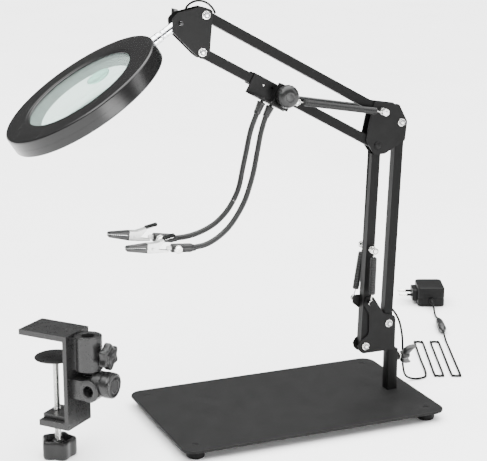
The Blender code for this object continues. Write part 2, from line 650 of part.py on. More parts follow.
def make_holder():
    """A saddle over the bottom tube, with a flange for the goosenecks and a block for the knob."""
    left, right = HOLDER_AT, HOLDER_AT + 0.0475
    reach = TUBE / 2 + GAP
    top = reach + PLATE
    low = -0.0150

    def quad(a, b, c, d):
        return [on_bottom_tube(a, c), on_bottom_tube(b, c), on_bottom_tube(b, d), on_bottom_tube(a, d)]

    saddle = [(-OUTER, low + FACE_STEP), (-INNER, low + FACE_STEP), (-INNER, reach), (INNER, reach),
              (INNER, -0.0060), (OUTER, -0.0060), (OUTER, top), (-OUTER, top)]
    along_tube = frame(at(on_bottom_tube(left, 0)), (ALONG.x, 0, ALONG.y), (0, 1, 0))
    holder = add("clip_holder", prism(saddle, 0, 0.028, along_tube), STEEL_BLACK,
                 at(on_bottom_tube(left + 0.024, 0)))
    join(holder, sheet(quad(left + 0.003, left + 0.0375, low, low + 0.002), -0.0225, -INNER - FACE_STEP))
    block_left = left + 0.0275
    join(holder, sheet(quad(block_left, right, -0.0145, top - FACE_STEP), -OUTER - FACE_STEP,
                       -INNER - 2 * FACE_STEP))
    join(holder, sheet(quad(block_left + 0.001, right - FACE_STEP, -0.0135, 0.0095), -0.0150,
                       -OUTER + 0.0005))
    knob_spot = on_bottom_tube(left + 0.037, 0)
    cut(holder, hole_y(knob_spot, 0.0020 + GAP))
    cut(holder, hole_y(on_bottom_tube(left + 0.0145, -0.0005), 0.0012, -0.012, -0.003))
    slot = quad(left + 0.0225, left + 0.0262, 0.0002, 0.0022)
    cut(holder, sheet(slot, -0.012, -0.003))
    for side, neck in gooseneck_starts().items():
        way = Vector(GOOSENECK_BENDS[side][0]).normalized()
        cut(holder, rod(neck + way * 0.004, neck - way * 0.008, 0.0018 + GAP, 12))
    seat = at(knob_spot, -0.0150 - GAP)
    make_holder_knob(seat)


def make_holder_knob(seat):
    shank = 0.0150 - TUBE / 2
    profile = [(0, -shank), (0.0020, -shank), (0.0020, 0.0020), (0.0090, 0.0020), (0.0115, 0.0030),
               (0.0122, 0.0060), (0.0115, 0.0095), (0.0085, 0.0125), (0.0045, 0.0140), (0, 0.0145)]
    add("holder_knob", turned_solid(profile, frame(seat, (0, -1, 0), (1, 0, 0)), 16), PLASTIC_BLACK, seat)


def gooseneck_starts():
    """Where the two flexible arms hang from the holder's flange."""
    low = -0.0150
    return {"rear": at(on_bottom_tube(HOLDER_AT + 0.0163, low), -0.0158),
            "front": at(on_bottom_tube(HOLDER_AT + 0.0273, low), -0.0158)}


GOOSENECK_BENDS = {           # each arm's bends, from the place where it hangs
    "rear": [(-0.0063, -0.0002, -0.0134), (-0.0129, -0.0002, -0.0306), (-0.0178, -0.0002, -0.0520),
             (-0.0214, -0.0002, -0.0678), (-0.0257, -0.0002, -0.0871), (-0.0319, -0.0002, -0.1006),
             (-0.0405, -0.0002, -0.1126), (-0.0528, -0.0002, -0.1230), (-0.0674, -0.0002, -0.1297),
             (-0.0819, -0.0002, -0.1330), (-0.0963, -0.0002, -0.1336)],
    "front": [(-0.0068, -0.0019, -0.0113), (-0.0124, -0.0035, -0.0266), (-0.0173, -0.0052, -0.0465),
              (-0.0217, -0.0069, -0.0643), (-0.0272, -0.0085, -0.0808), (-0.0335, -0.0102, -0.0949),
              (-0.0427, -0.0119, -0.1088), (-0.0531, -0.0135, -0.1202), (-0.0660, -0.0152, -0.1289),
              (-0.0786, -0.0169, -0.1336), (-0.0929, -0.0182, -0.1349)],
}
GOOSENECK_SPLIT = 5          # the route point where each arm's second bend is


def gooseneck_route(side):
    neck = gooseneck_starts()[side]
    return [neck + Vector(bend) for bend in GOOSENECK_BENDS[side]]


def make_gooseneck(side):
    route = gooseneck_route(side)
    neck = gooseneck_starts()[side]
    way = (route[0] - neck).normalized()
    seat = neck + way * (GAP + 0.0012)
    ferrule = add(f"ferrule_{side}", rod(seat, route[0], 0.0042, 16, 0.0032), PLASTIC_BLACK, route[0])
    join(ferrule, rod(neck - way * 0.0032, seat + way * 0.001, 0.0018, 12))
    whole = smooth_path(route, 4)
    split = 4 * GOOSENECK_SPLIT
    upper, lower = whole[:split + 1], [p.copy() for p in whole[split:]]
    upper[0] += (upper[1] - upper[0]).normalized() * (GAP + 0.2 * GOOSENECK_RADIUS)
    lower[0] += (lower[1] - lower[0]).normalized() * (GAP + 0.1 * GOOSENECK_RADIUS)
    path_tube(f"gooseneck_{side}_upper", upper, GOOSENECK_RADIUS, RUBBER, 1)
    path_tube(f"gooseneck_{side}_lower", lower, GOOSENECK_RADIUS, RUBBER, 1)
    return route[-1]


# ---------------------------------------------------------------- clips
CLIP_RISE = {"rear": 9.0, "front": 5.0}      # degrees that each clip points above level
SOCKET_LENGTH = 0.022
TAIL_RADIUS = 0.0023
PIN_AHEAD = 0.020            # the jaw pin lies this far past the socket's mouth
JAW = 0.027                  # jaw pin to tip
SHEET = 0.0008               # the clips' sheet metal


def side_prism(outline, width, placed):
    """An outline in the clip's side view, spread across its width."""
    return prism(outline, -width / 2, width / 2, placed @ Matrix.Rotation(pi / 2, 4, "X"))


def make_clip(side, end):
    rise = radians(CLIP_RISE[side])
    way = Vector((-cos(rise), 0, sin(rise)))
    start = end + way * (GAP + 0.2 * GOOSENECK_RADIUS)
    mouth = start + way * SOCKET_LENGTH
    socket = add(f"clip_socket_{side}", rod(start, mouth, SOCKET_RADIUS, 12), PLASTIC_BLACK, mouth)
    cut(socket, rod(mouth - way * 0.0100, mouth + way * 0.002, TAIL_RADIUS + GAP, 10))
    spot = mouth - way * 0.0055
    cut(socket, rod(spot, spot - Vector((0, 0.01, 0)), 0.0013 + GAP, 10))
    face = spot - Vector((0, SOCKET_RADIUS + GAP, 0))
    tip = -SOCKET_RADIUS + TAIL_RADIUS + GAP
    screw = [(0, tip), (0.0013, tip), (0.0013, 0.0004), (0.0040, 0.0004), (0.0044, 0.0012),
             (0.0044, 0.0032), (0.0038, 0.0040), (0, 0.0042)]
    facing = frame(face, (0, -1, 0), (1, 0, 0))
    add(f"socket_screw_{side}", turned_solid(screw, facing, 10), STEEL_BRIGHT, face)
    pin = mouth + way * PIN_AHEAD
    placed = frame(pin, (sin(rise), 0, cos(rise)), way)
    make_clip_jaws(side, placed)


def make_clip_jaws(side, placed):
    wide, narrow = CLIP_WIDTH, CLIP_WIDTH - 2 * SHEET - 2 * GAP
    lower_outline = [(-0.0180, -0.0036), (0.0040, -0.0046), (JAW, -0.0022), (JAW, -0.0002), (0.0050, -0.0002),
                     (0.0020, 0.0024), (-0.0020, 0.0024), (-0.0050, -0.0002), (-0.0180, -0.0002)]
    lower = add(f"clip_lower_jaw_{side}", side_prism(lower_outline, narrow, placed), STEEL_BRIGHT,
                placed.translation)
    hollow = [(-0.0160, -0.0028), (0.0040, -0.0038), (JAW - 0.0035, -0.0016), (JAW - 0.0035, 0.006),
              (-0.0160, 0.006)]
    cut(lower, side_prism(hollow, narrow - 2 * SHEET, placed))
    join(lower, rod(placed @ Vector((0, wide / 2 + 0.0010, 0)), placed @ Vector((0, -wide / 2 - 0.0010, 0)),
                    0.0009, 10))
    tail_root = -PIN_AHEAD + 0.0006
    join(lower, box((0.0026, narrow, 0.0054), (tail_root + 0.0013, 0, -0.0009), placed))
    join(lower, rod(placed @ Vector((tail_root + 0.001, 0, 0)), placed @ Vector((tail_root - 0.0085, 0, 0)),
                    TAIL_RADIUS, 14))
    upper_outline = [(JAW, 0.0002), (JAW, 0.0020), (0.0060, 0.0050), (-0.0020, 0.0052), (-0.0210, 0.0118),
                     (-0.0216, 0.0108), (-0.0060, 0.0022), (-0.0030, -0.0020), (0.0030, -0.0020),
                     (0.0060, 0.0002)]
    upper = add(f"clip_upper_jaw_{side}", side_prism(upper_outline, wide, placed), STEEL_BRIGHT,
                placed.translation)
    under = [(JAW - 0.0035, -0.006), (JAW - 0.0035, 0.0013), (0.0060, 0.0042), (-0.0020, 0.0044),
             (-0.0200, 0.0106), (-0.0240, 0.0106), (-0.0240, -0.006)]
    cut(upper, side_prism(under, narrow + 2 * GAP, placed))
    cut(upper, rod(placed @ Vector((0, wide, 0)), placed @ Vector((0, -wide, 0)), 0.0009 + GAP, 10))


# ---------------------------------------------------------------- lamp cord and adapter
CORD_LIES = CORD_RADIUS + 0.0002
CORD_ALONG = Vector((0.386, 0.923, 0))       # the folded runs lie this way
CORD_SIDE = Vector((0.923, -0.386, 0))
CORD_DROP = [                 # from below the rear pivot: x, y, and height as a part of the pivot's
    (0.0035, 0.0102, 1.137), (0.0038, 0.0155, 1.143), (0.0110, 0.0225, 1.130), (0.0235, 0.0280, 1.030),
    (0.0345, 0.0320, 0.860), (0.0405, 0.0345, 0.650), (0.0430, 0.0365, 0.440), (0.0445, 0.0380, 0.250),
    (0.0490, 0.0398, 0.094), (0.0580, 0.0408, 0.026), (0.0690, 0.0395, 0.016)]
FOLD_START = Vector((BASE_LENGTH / 2 + 0.0490, 0.0400, CORD_LIES))
FOLD_RUN = 0.112
FOLD_PITCH = 0.0100
FOLD_RUNS = 5
CONNECTOR_RADIUS = 0.0052
CONNECTOR_LENGTH = 0.026
ADAPTER_SIZE = (0.036, 0.046, 0.026)
LEAD_LENGTH = 0.052


def cord_drop():
    """The cord's fall from the lower bracket to the desk."""
    foot = REAR_PIVOT
    return [Vector((foot.x + x, ARM_Y + y, max(foot.y * part, CORD_LIES))) for x, y, part in CORD_DROP]


def folded_runs():
    """The cord's zigzag on the desk, from its first straight run to its last."""
    points = []
    for k in range(FOLD_RUNS):
        near = FOLD_START + CORD_SIDE * FOLD_PITCH * k
        far = near + CORD_ALONG * FOLD_RUN
        run = [near, near + CORD_ALONG * FOLD_RUN * 0.5, far]
        way = 1
        if k % 2:
            run.reverse()
            way = -1
        points += run
        if k < FOLD_RUNS - 1:
            middle = run[-1] + CORD_SIDE * FOLD_PITCH / 2
            for turn in (45, 90, 135):
                a = radians(turn)
                points.append(middle + FOLD_PITCH / 2 * (way * sin(a) * CORD_ALONG - cos(a) * CORD_SIDE))
    return points


def connector_start():
    last = folded_runs()[-1]
    return Vector((last.x, last.y, 0)) + CORD_ALONG * 0.034 + Vector((0, 0, CONNECTOR_RADIUS + 0.0002))


def make_cord():
    start = connector_start()
    last = folded_runs()[-1]
    rise = [last + CORD_ALONG * 0.012, start - CORD_ALONG * 0.010 - Vector((0, 0, 0.0018)),
            start - CORD_ALONG * (0.0002 + GAP)]
    path_tube("lamp_cord", smooth_path([*cord_drop(), *folded_runs(), *rise], 2), CORD_RADIUS, RUBBER)
    grip = [(0, 0), (0.0022, 0), (0.0042, 0.006), (CONNECTOR_RADIUS, 0.0075),
            (CONNECTOR_RADIUS, CONNECTOR_LENGTH), (0.0030, CONNECTOR_LENGTH),
            (0.0030, CONNECTOR_LENGTH - 0.0100), (0, CONNECTOR_LENGTH - 0.0100)]
    add("dc_socket", turned_solid(grip, frame(start, CORD_ALONG, (0, 0, 1)), 12), PLASTIC_BLACK, start)
    joint = start + CORD_ALONG * (CONNECTOR_LENGTH + GAP)
    plug = [(0, -0.0090), (0.0027, -0.0090), (0.0027, 0), (CONNECTOR_RADIUS, 0), (CONNECTOR_RADIUS, 0.015),
            (0.0042, 0.017), (0.0022, 0.024), (0, 0.024)]
    add("dc_plug", turned_solid(plug, frame(joint, CORD_ALONG, (0, 0, 1)), 12), PLASTIC_BLACK, joint)
    make_adapter(joint + CORD_ALONG * 0.024)


def make_adapter(lead_start):
    """A plug-in power supply lying on its back, its pins pointing left."""
    width, length, height = ADAPTER_SIZE
    neck = lead_start + CORD_ALONG * LEAD_LENGTH
    neck.z = height * 0.34
    centre = neck + CORD_ALONG * (0.0160 + length / 2)
    centre.z = height / 2 + 0.0002
    route = [lead_start + CORD_ALONG * GAP, lead_start + CORD_ALONG * 0.008, lead_start + CORD_ALONG * 0.019,
             lead_start + CORD_ALONG * 0.032, neck - CORD_ALONG * 0.009, neck - CORD_ALONG * GAP]
    for k, height_now in ((1, 0.0042), (2, 0.0022), (3, 0.0022), (4, 0.0068)):
        route[k] = Vector((route[k].x, route[k].y, height_now))
    path_tube("adapter_lead", smooth_path(route, 4), CORD_RADIUS, RUBBER)
    corners = ((-1, -1), (1, -1), (1, 1), (-1, 1))
    outline = rounded([(sx * width / 2, sy * length / 2, 0.005) for sx, sy in corners], 3)
    placed = frame(centre, (0, 0, 1), CORD_SIDE)
    case = add("adapter_case", prism(outline, -height / 2, height / 2, placed), PLASTIC_BLACK, centre)
    relief = [(0, 0), (0.0019, 0), (0.0034, 0.0130), (0.0034, 0.0190), (0, 0.0190)]
    join(case, turned_solid(relief, frame(neck, CORD_ALONG, (0, 0, 1)), 12))
    shoulder = rounded([(sx * 0.008, sy * 0.014, 0.004) for sx, sy in corners], 3)
    side = frame(centre - CORD_SIDE * (width / 2 - 0.002), -CORD_SIDE, (0, 0, 1))
    join(case, prism(shoulder, 0, 0.0085, side))
    for k, sign in enumerate((-1, 1)):
        root = side @ Vector((0, sign * 0.0095, 0.0085))
        join(case, rod(root + CORD_SIDE * 0.001, root - CORD_SIDE * 0.0180, 0.0020, 12))


# ---------------------------------------------------------------- loose desk clamp
KNOB_HEIGHT = 0.0185
CLAMP_LIFT = 0.038           # the clamp's frame stands this high on its screw
CLAMP_GRIP = 0.024           # room between the disc and the upper jaw
DISC_RADIUS = 0.0212
CLAMP_TOP = 0.0055
CLAMP_JAW = 0.006
CLAMP_BACK = 0.0045
CLAMP_LIP = 0.008            # the lower jaw reaches this far past the screw
LUG_OUT = 0.0205             # the cross bore's distance from the back plate


def lobed(radius, depth, lobes, steps=30):
    """A star knob's outline."""
    points = []
    for i in range(steps):
        angle = 2 * pi * i / steps
        reach = radius - depth * (1 - cos(lobes * angle)) / 2
        points.append(Vector((reach * cos(angle), reach * sin(angle))))
    return points


def clamp_frame():
    """Clamp axes: X towards the jaws' opening, Y along the desk's edge, Z up the screw."""
    turn = Vector((cos(radians(CLAMP_TURN)), sin(radians(CLAMP_TURN)), 0))
    return frame((*CLAMP_CENTRE, 0), (0, 0, 1), turn)


def make_desk_clamp():
    placed = clamp_frame()
    side = placed @ Matrix.Rotation(pi / 2, 4, "X")
    low, high = CLAMP_LIFT, CLAMP_LIFT + CLAMP_HEIGHT
    back = -(DISC_RADIUS + 0.0013 + CLAMP_BACK)
    half = CLAMP_WIDTH / 2
    top = [(back, high), (back + CLAMP_REACH, high), (back + CLAMP_REACH, high - CLAMP_TOP),
           (back + CLAMP_BACK, high - CLAMP_TOP), (back + CLAMP_BACK, low + CLAMP_JAW),
           (CLAMP_LIP, low + CLAMP_JAW), (CLAMP_LIP, low), (back, low)]
    body = add("desk_clamp_frame", prism(top, -half, half, side), STEEL_BLACK,
               placed @ Vector((0, 0, low)))
    boss_length = CLAMP_LIP - 0.0008 - back - 0.002
    boss_middle = (back + 0.002 + boss_length / 2, 0, low + CLAMP_JAW + 0.0015)
    join(body, box((boss_length, 0.027, 0.007), boss_middle, placed))
    bore = placed @ Vector((back - 0.0125, 0, 0))
    socket_low = high - 0.036
    socket_high = high - 0.002
    join(body, rod(bore + Vector((0, 0, socket_low)), bore + Vector((0, 0, socket_high)), 0.0140, 16))
    join(body, box((0.0135, 0.0240, socket_high - socket_low - 0.002),
                   (back - 0.0060, 0, (socket_low + socket_high) / 2), placed))
    outward = placed.to_3x3() @ Vector((-1, 0, 0))
    width = placed.to_3x3() @ Vector((0, 1, 0))
    lug = placed @ Vector((back, 0, high - 0.0545))
    lug_axis = lug + outward * LUG_OUT
    join(body, rod(lug_axis - width * 0.0144, lug_axis + width * 0.0144, 0.0115, 16))
    join(body, box((LUG_OUT + 0.002, 0.028, 0.020), (back - LUG_OUT / 2 + 0.001, 0, high - 0.0550), placed))
    barrel = lug + Vector((0, 0, 0.0050))
    join(body, rod(barrel + outward * (LUG_OUT + 0.0015), barrel + outward * 0.0415, 0.0128, 16))
    cut(body, rod(lug_axis - width * 0.03, lug_axis + width * 0.03, 0.0058, 16))
    cut(body, rod(bore + Vector((0, 0, socket_low - 0.01)), bore + Vector((0, 0, high + 0.01)),
                  POST_SIDE / 2 + 0.0005, 14))
    cut(body, rod(placed @ Vector((0, 0, low - 0.01)), placed @ Vector((0, 0, low + 0.02)),
                  CLAMP_SCREW_RADIUS + GAP, 16))
    screw_spot = bore + Vector((0, 0, high - 0.020))
    cut(body, rod(screw_spot, screw_spot + outward * 0.02, 0.0023 + GAP, 12))
    make_clamp_screw(placed)
    make_clamp_thumb_screw(screw_spot, outward)


def make_clamp_screw(placed):
    """The tightening screw with its star knob at the foot, and the pressure disc on its tip."""
    under = CLAMP_LIFT + CLAMP_HEIGHT - CLAMP_TOP - CLAMP_GRIP
    screw = add("desk_clamp_screw", prism(lobed(0.0185, 0.0035, 5), 0, KNOB_HEIGHT, placed), PLASTIC_BLACK,
                placed.translation)
    join(screw, rod(placed @ Vector((0, 0, KNOB_HEIGHT - 0.002)), placed @ Vector((0, 0, under - 0.003)),
                    CLAMP_SCREW_RADIUS, 16))
    socket = CLAMP_SCREW_RADIUS + GAP
    disc = [(0, under - 0.0030 + GAP), (socket, under - 0.0030 + GAP), (socket, under - 0.0065),
            (0.0056, under - 0.0065), (0.0062, under - 0.0042), (DISC_RADIUS * 0.85, under - 0.0026),
            (DISC_RADIUS, under - 0.0012), (DISC_RADIUS, under), (0, under)]
    add("desk_clamp_disc", turned_solid(disc, placed, 16), STEEL_BLACK, placed @ Vector((0, 0, under)))


def make_clamp_thumb_screw(spot, outward):
    seat = spot + outward * (0.0140 + GAP)
    placed = frame(seat, outward, (0, 0, 1))
    screw = add("desk_clamp_thumb_screw", rod(seat - outward * 0.0065, seat + outward * 0.006, 0.0023, 12),
                PLASTIC_BLACK, seat)
    join(screw, prism(lobed(0.0140, 0.0032, 6), 0.0045, 0.0130, placed))
    join(screw, prism(lobed(0.0075, 0.0005, 6), 0.0015, 0.0050, placed))


# ---------------------------------------------------------------- the whole station
CORD_PIECES = ("lamp_cord", "dc_socket", "dc_plug", "adapter_lead", "adapter_case")


def seat_on_origin():
    """Moves the station so that the middle of its footprint, cord aside, is the origin."""
    bpy.context.view_layer.update()
    seen = bpy.context.evaluated_depsgraph_get()
    corners = []
    for piece in STATION.children:
        if piece.hide_render or piece.name in CORD_PIECES:
            continue
        shown = piece.evaluated_get(seen)
        mesh = shown.to_mesh()
        corners += [shown.matrix_world @ v.co for v in mesh.vertices]
        shown.to_mesh_clear()
    middle = [(min(c[i] for c in corners) + max(c[i] for c in corners)) / 2 for i in (0, 1)]
    STATION.location = (-middle[0], -middle[1], 0)
    bpy.context.view_layer.update()


for leftover in list(bpy.data.objects):
    bpy.data.objects.remove(leftover)
STATION = bpy.data.objects.new("station", None)
bpy.context.scene.collection.objects.link(STATION)

STEEL_BLACK = material("painted_steel", (0.020, 0.020, 0.021), 0.42, 0.0)
STEEL_BRIGHT = material("zinc_plated", (0.62, 0.62, 0.60), 0.30, 1.0)
STEEL_DARK = material("spring_steel", (0.030, 0.030, 0.032), 0.38, 0.6)
CHROME = material("chrome", (0.80, 0.80, 0.82), 0.12, 1.0)
PLASTIC_BLACK = material("black_plastic", (0.022, 0.022, 0.023), 0.45, 0.0)
PLASTIC_GREY = material("grey_plastic", (0.20, 0.20, 0.21), 0.50, 0.0)
RUBBER = material("black_rubber", (0.016, 0.016, 0.017), 0.70, 0.0)
BOARD_WHITE = material("white_board", (0.80, 0.80, 0.78), 0.50, 0.0)
DIFFUSER = material("frosted_plastic", (0.88, 0.88, 0.86), 0.55, 0.0)
GLASS = material("clear_lens", (0.86, 0.93, 0.91), 0.03, 0.0)

make_base()
make_post()
make_lower_bracket()
make_lower_arm()
make_elbow()
make_upper_arm()
make_head_bracket()
make_knuckle()
make_head_cable()
make_ring()
make_holder()
for clip_side in ("rear", "front"):
    make_clip(clip_side, make_gooseneck(clip_side))
make_cord()
make_desk_clamp()
seat_on_origin()
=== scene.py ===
"""Looks for the helping-hands station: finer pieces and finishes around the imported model."""

import json
from math import cos, pi, radians, sin

import bmesh
import bpy
from mathutils import Matrix, Vector

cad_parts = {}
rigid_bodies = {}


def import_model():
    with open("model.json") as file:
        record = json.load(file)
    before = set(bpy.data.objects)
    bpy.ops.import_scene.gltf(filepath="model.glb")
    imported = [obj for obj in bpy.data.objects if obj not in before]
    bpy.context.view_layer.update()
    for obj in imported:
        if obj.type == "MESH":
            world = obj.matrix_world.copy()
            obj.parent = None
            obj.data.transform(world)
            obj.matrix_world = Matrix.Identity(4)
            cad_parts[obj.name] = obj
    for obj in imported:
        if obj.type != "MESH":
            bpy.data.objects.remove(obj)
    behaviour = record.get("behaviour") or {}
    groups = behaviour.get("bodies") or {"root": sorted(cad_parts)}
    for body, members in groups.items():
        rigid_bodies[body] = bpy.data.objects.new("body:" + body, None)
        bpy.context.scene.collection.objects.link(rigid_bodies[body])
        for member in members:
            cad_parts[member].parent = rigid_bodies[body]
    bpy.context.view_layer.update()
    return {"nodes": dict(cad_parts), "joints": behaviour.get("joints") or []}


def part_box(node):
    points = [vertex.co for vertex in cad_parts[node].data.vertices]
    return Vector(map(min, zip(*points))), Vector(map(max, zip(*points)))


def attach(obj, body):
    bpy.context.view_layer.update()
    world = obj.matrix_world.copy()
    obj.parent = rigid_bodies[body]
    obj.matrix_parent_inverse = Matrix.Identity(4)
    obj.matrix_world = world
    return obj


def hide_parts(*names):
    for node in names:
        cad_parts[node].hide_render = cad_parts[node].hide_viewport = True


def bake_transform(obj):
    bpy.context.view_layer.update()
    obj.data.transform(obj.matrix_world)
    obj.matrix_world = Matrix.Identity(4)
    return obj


for leftover in list(bpy.data.objects):
    bpy.data.objects.remove(leftover)
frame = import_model()
NODES = frame["nodes"]
JOINTS = {joint["name"]: joint for joint in frame["joints"]}


# ---------------------------------------------------------------- places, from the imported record
def joint_at(name):
    return Vector(JOINTS[name]["pos_m"])


REAR, FRONT = joint_at("lower_arm_tilt"), joint_at("lower_front_follow")
ELBOW_REAR, ELBOW_TOP = joint_at("elbow_level"), joint_at("upper_arm_tilt")
ELBOW_SHARED = joint_at("upper_bottom_follow")
HEAD_TOP = joint_at("head_level")
HEAD_BOTTOM = HEAD_TOP + ELBOW_SHARED - ELBOW_TOP
TILT = joint_at("head_tilt")
STEM = Vector(JOINTS["head_turn"]["axis"]).normalized()
ALONG = (ELBOW_TOP - HEAD_TOP).normalized()
ACROSS = Vector((-ALONG.z, 0, ALONG.x))
SWIVEL_AT = Vector((0.1245, -0.008, 0.0603))     # the swivel's place from the base plate's middle
SHIFT = joint_at("swivel") - SWIVEL_AT
TOWARDS_VIEWER = Vector((0, -1, 0))

GAP = 0.0003
INNER, OUTER = 0.0053, 0.0068    # the brackets' sheets, each side of the arm plane
SPRING_Y = 0.013
LOWER_STUD_AT, UPPER_STUD_AT = 0.1098, 0.113     # the springs' studs, along the front and the bottom tube
RING_RADIUS, RING_WINDOW, RING_HALF, RING_WALL = 0.085, 0.0575, 0.009, 0.002
NECK_LENGTH = 0.033              # ring's rim to the tilt pivot
RING = TILT - (RING_RADIUS + NECK_LENGTH) * STEM
HOSE_RADIUS = 0.00290
CORD_RADIUS = 0.00125
SOCKET_LENGTH = 0.022
SOCKET_RADIUS = 0.0045


# ---------------------------------------------------------------- finishes
def node(tree, kind, **values):
    made = tree.nodes.new(kind)
    for name, value in values.items():
        if hasattr(made, name):
            setattr(made, name, value)
        else:
            made.inputs[name.replace("_", " ")].default_value = value
    return made


def noise(tree, place, scale, detail=3.0, rough=0.5):
    made = node(tree, "ShaderNodeTexNoise")
    made.inputs["Scale"].default_value = scale
    made.inputs["Detail"].default_value = detail
    made.inputs["Roughness"].default_value = rough
    tree.links.new(place, made.inputs["Vector"])
    return made.outputs["Fac"]


def spread(tree, value, low, high, lowest=0.3, highest=0.7, **kind):
    made = node(tree, "ShaderNodeMapRange", **kind)
    for socket, number in (("From Min", lowest), ("From Max", highest), ("To Min", low), ("To Max", high)):
        made.inputs[socket].default_value = number
    tree.links.new(value, made.inputs["Value"])
    return made.outputs["Result"]


def between(tree, value, first, second):
    made = node(tree, "ShaderNodeMix", data_type="RGBA")
    made.inputs[6].default_value = (*first, 1)
    made.inputs[7].default_value = (*second, 1)
    tree.links.new(value, made.inputs[0])
    return made.outputs[2]


def finish(name, slot, dark, light, rough, mottle, grain, bump, depth, metallic=0.0, **sockets):
    """A finish whose colour, roughness and fine relief all vary over the surface."""
    made = bpy.data.materials.new(name)
    made.use_nodes = True
    tree = made.node_tree
    shader = tree.nodes["Principled BSDF"]
    where = node(tree, "ShaderNodeTexCoord").outputs["Object"]
    broad = noise(tree, where, mottle, 4.0, 0.6)
    fine = noise(tree, where, grain, 2.0, 0.5)
    tree.links.new(between(tree, spread(tree, broad, 0, 1), dark, light), shader.inputs["Base Color"])
    both = node(tree, "ShaderNodeMath", operation="MULTIPLY_ADD")
    both.inputs[1].default_value = 0.5
    tree.links.new(fine, both.inputs[0])
    half = node(tree, "ShaderNodeMath", operation="MULTIPLY")
    half.inputs[1].default_value = 0.5
    tree.links.new(broad, half.inputs[0])
    tree.links.new(half.outputs[0], both.inputs[2])
    tree.links.new(spread(tree, both.outputs[0], *rough), shader.inputs["Roughness"])
    relief = node(tree, "ShaderNodeBump")
    relief.inputs["Strength"].default_value = bump
    relief.inputs["Distance"].default_value = depth
    tree.links.new(fine, relief.inputs["Height"])
    tree.links.new(relief.outputs["Normal"], shader.inputs["Normal"])
    shader.inputs["Metallic"].default_value = metallic
    for socket, value in sockets.items():
        shader.inputs[socket.replace("_", " ")].default_value = value
    return made


def grey(value):
    return (value, value, value)


def black(name, slot, low, high, rough, mottle, grain, bump, depth, sheen=0.08, **sockets):
    """A near-black finish with a weak reflection."""
    return finish(name, slot, grey(low), grey(high), rough, mottle, grain, bump, depth,
                  Specular_IOR_Level=sheen, **sockets)


POWDER = black("powder_coat", "painted_steel", 0.0068, 0.0098, (0.46, 0.60), 60, 1900, 0.35, 0.00012)
ARM_PAINT = black("arm_paint", "painted_steel", 0.0025, 0.0040, (0.36, 0.46), 70, 1500, 0.16, 0.0001)
BRACKET_PAINT = black("bracket_paint", "painted_steel", 0.0045, 0.0065, (0.33, 0.44), 80, 1500, 0.18, 0.0001)
CAST = black("cast_paint", "painted_steel", 0.0085, 0.0120, (0.24, 0.34), 110, 900, 0.20, 0.00014, 0.34)
RING_PLASTIC = black("ring_plastic", "black_plastic", 0.0045, 0.0060, (0.22, 0.28), 45, 2600, 0.07, 0.00006,
                     0.30)
KNOB_PLASTIC = black("knob_plastic", "black_plastic", 0.0058, 0.0080, (0.27, 0.36), 120, 2200, 0.10, 0.00008,
                     0.30)
SOFT_PLASTIC = black("adapter_plastic", "black_plastic", 0.0045, 0.0065, (0.36, 0.48), 90, 2600, 0.20, 0.0001)
RUBBER = black("rubber", "black_rubber", 0.0030, 0.0045, (0.40, 0.52), 140, 2400, 0.12, 0.00008)
HOSE = black("hose_rubber", "black_rubber", 0.0028, 0.0042, (0.24, 0.34), 160, 2600, 0.10, 0.00006, 0.30)
CHROME = finish("chrome_plate", "chrome", (0.74, 0.75, 0.77), (0.82, 0.83, 0.85), (0.05, 0.12), 130, 900,
                0.02, 0.00003, metallic=1.0)
ZINC = finish("zinc_plate", "zinc_plated", (0.60, 0.60, 0.58), (0.74, 0.74, 0.72), (0.17, 0.30), 260, 2400,
              0.10, 0.00004, metallic=1.0)
NICKEL = finish("clip_nickel", "zinc_plated", (0.56, 0.56, 0.55), (0.66, 0.66, 0.65), (0.34, 0.46), 240, 2600,
                0.14, 0.00004, metallic=0.85)
SPRING_STEEL = finish("spring_wire", "spring_steel", grey(0.010), grey(0.018), (0.28, 0.40), 300, 3000,
                      0.10, 0.00004, metallic=0.45)
CLIP_BLACK = finish("clip_black", "painted_steel", grey(0.006), grey(0.009), (0.34, 0.46), 220, 2200,
                    0.16, 0.00006)
NYLON = finish("nut_insert", "grey_plastic", (0.10, 0.10, 0.11), (0.15, 0.15, 0.16), (0.35, 0.45), 400, 2000,
               0.1, 0.00004)
BUTTON = finish("button_plastic", "grey_plastic", grey(0.16), grey(0.21), (0.34, 0.42), 200, 2400,
                0.08, 0.00004)
BOARD = finish("board_lacquer", "white_board", (0.72, 0.73, 0.72), (0.82, 0.83, 0.81), (0.25, 0.35), 120,
               1200,
               0.05, 0.00004)
LED = finish("led_phosphor", "white_board", (0.80, 0.62, 0.16), (0.88, 0.72, 0.26), (0.30, 0.40), 900, 3000,
             0.05, 0.00003)
FROSTED = finish("frosted_cover", "frosted_plastic", (0.84, 0.85, 0.84), (0.91, 0.92, 0.91), (0.32, 0.42),
                 80, 1800, 0.10, 0.00006, Transmission_Weight=0.35)
GLASS = finish("lens_glass", "clear_lens", (0.77, 0.95, 0.89), (0.83, 0.97, 0.92), (0.0, 0.015), 30, 300,
               0.006, 0.00002, Transmission_Weight=0.88, IOR=1.10, Coat_Weight=1.0)
INSET_GLASS = finish("inset_glass", "clear_lens", (0.40, 0.86, 0.70), (0.48, 0.90, 0.76), (0.0, 0.02), 60,
                     300,
                     0.006, 0.00002, Transmission_Weight=0.85, IOR=1.20, Coat_Weight=1.0)
PIN_METAL = finish("pin_metal", "zinc_plated", (0.66, 0.65, 0.62), (0.78, 0.77, 0.74), (0.12, 0.22), 300,
                   2000,
                   0.06, 0.00003, metallic=1.0)
# Painted shade: a near-black matte finish for the disc that stands in for the shadow inside the clamp
# barrel's bore.
BORE_SHADE_PAINT = finish("bore_shadow", "painted_steel", grey(0.004), grey(0.006), (0.6, 0.7), 200, 1800,
                   0.1, 0.00005)


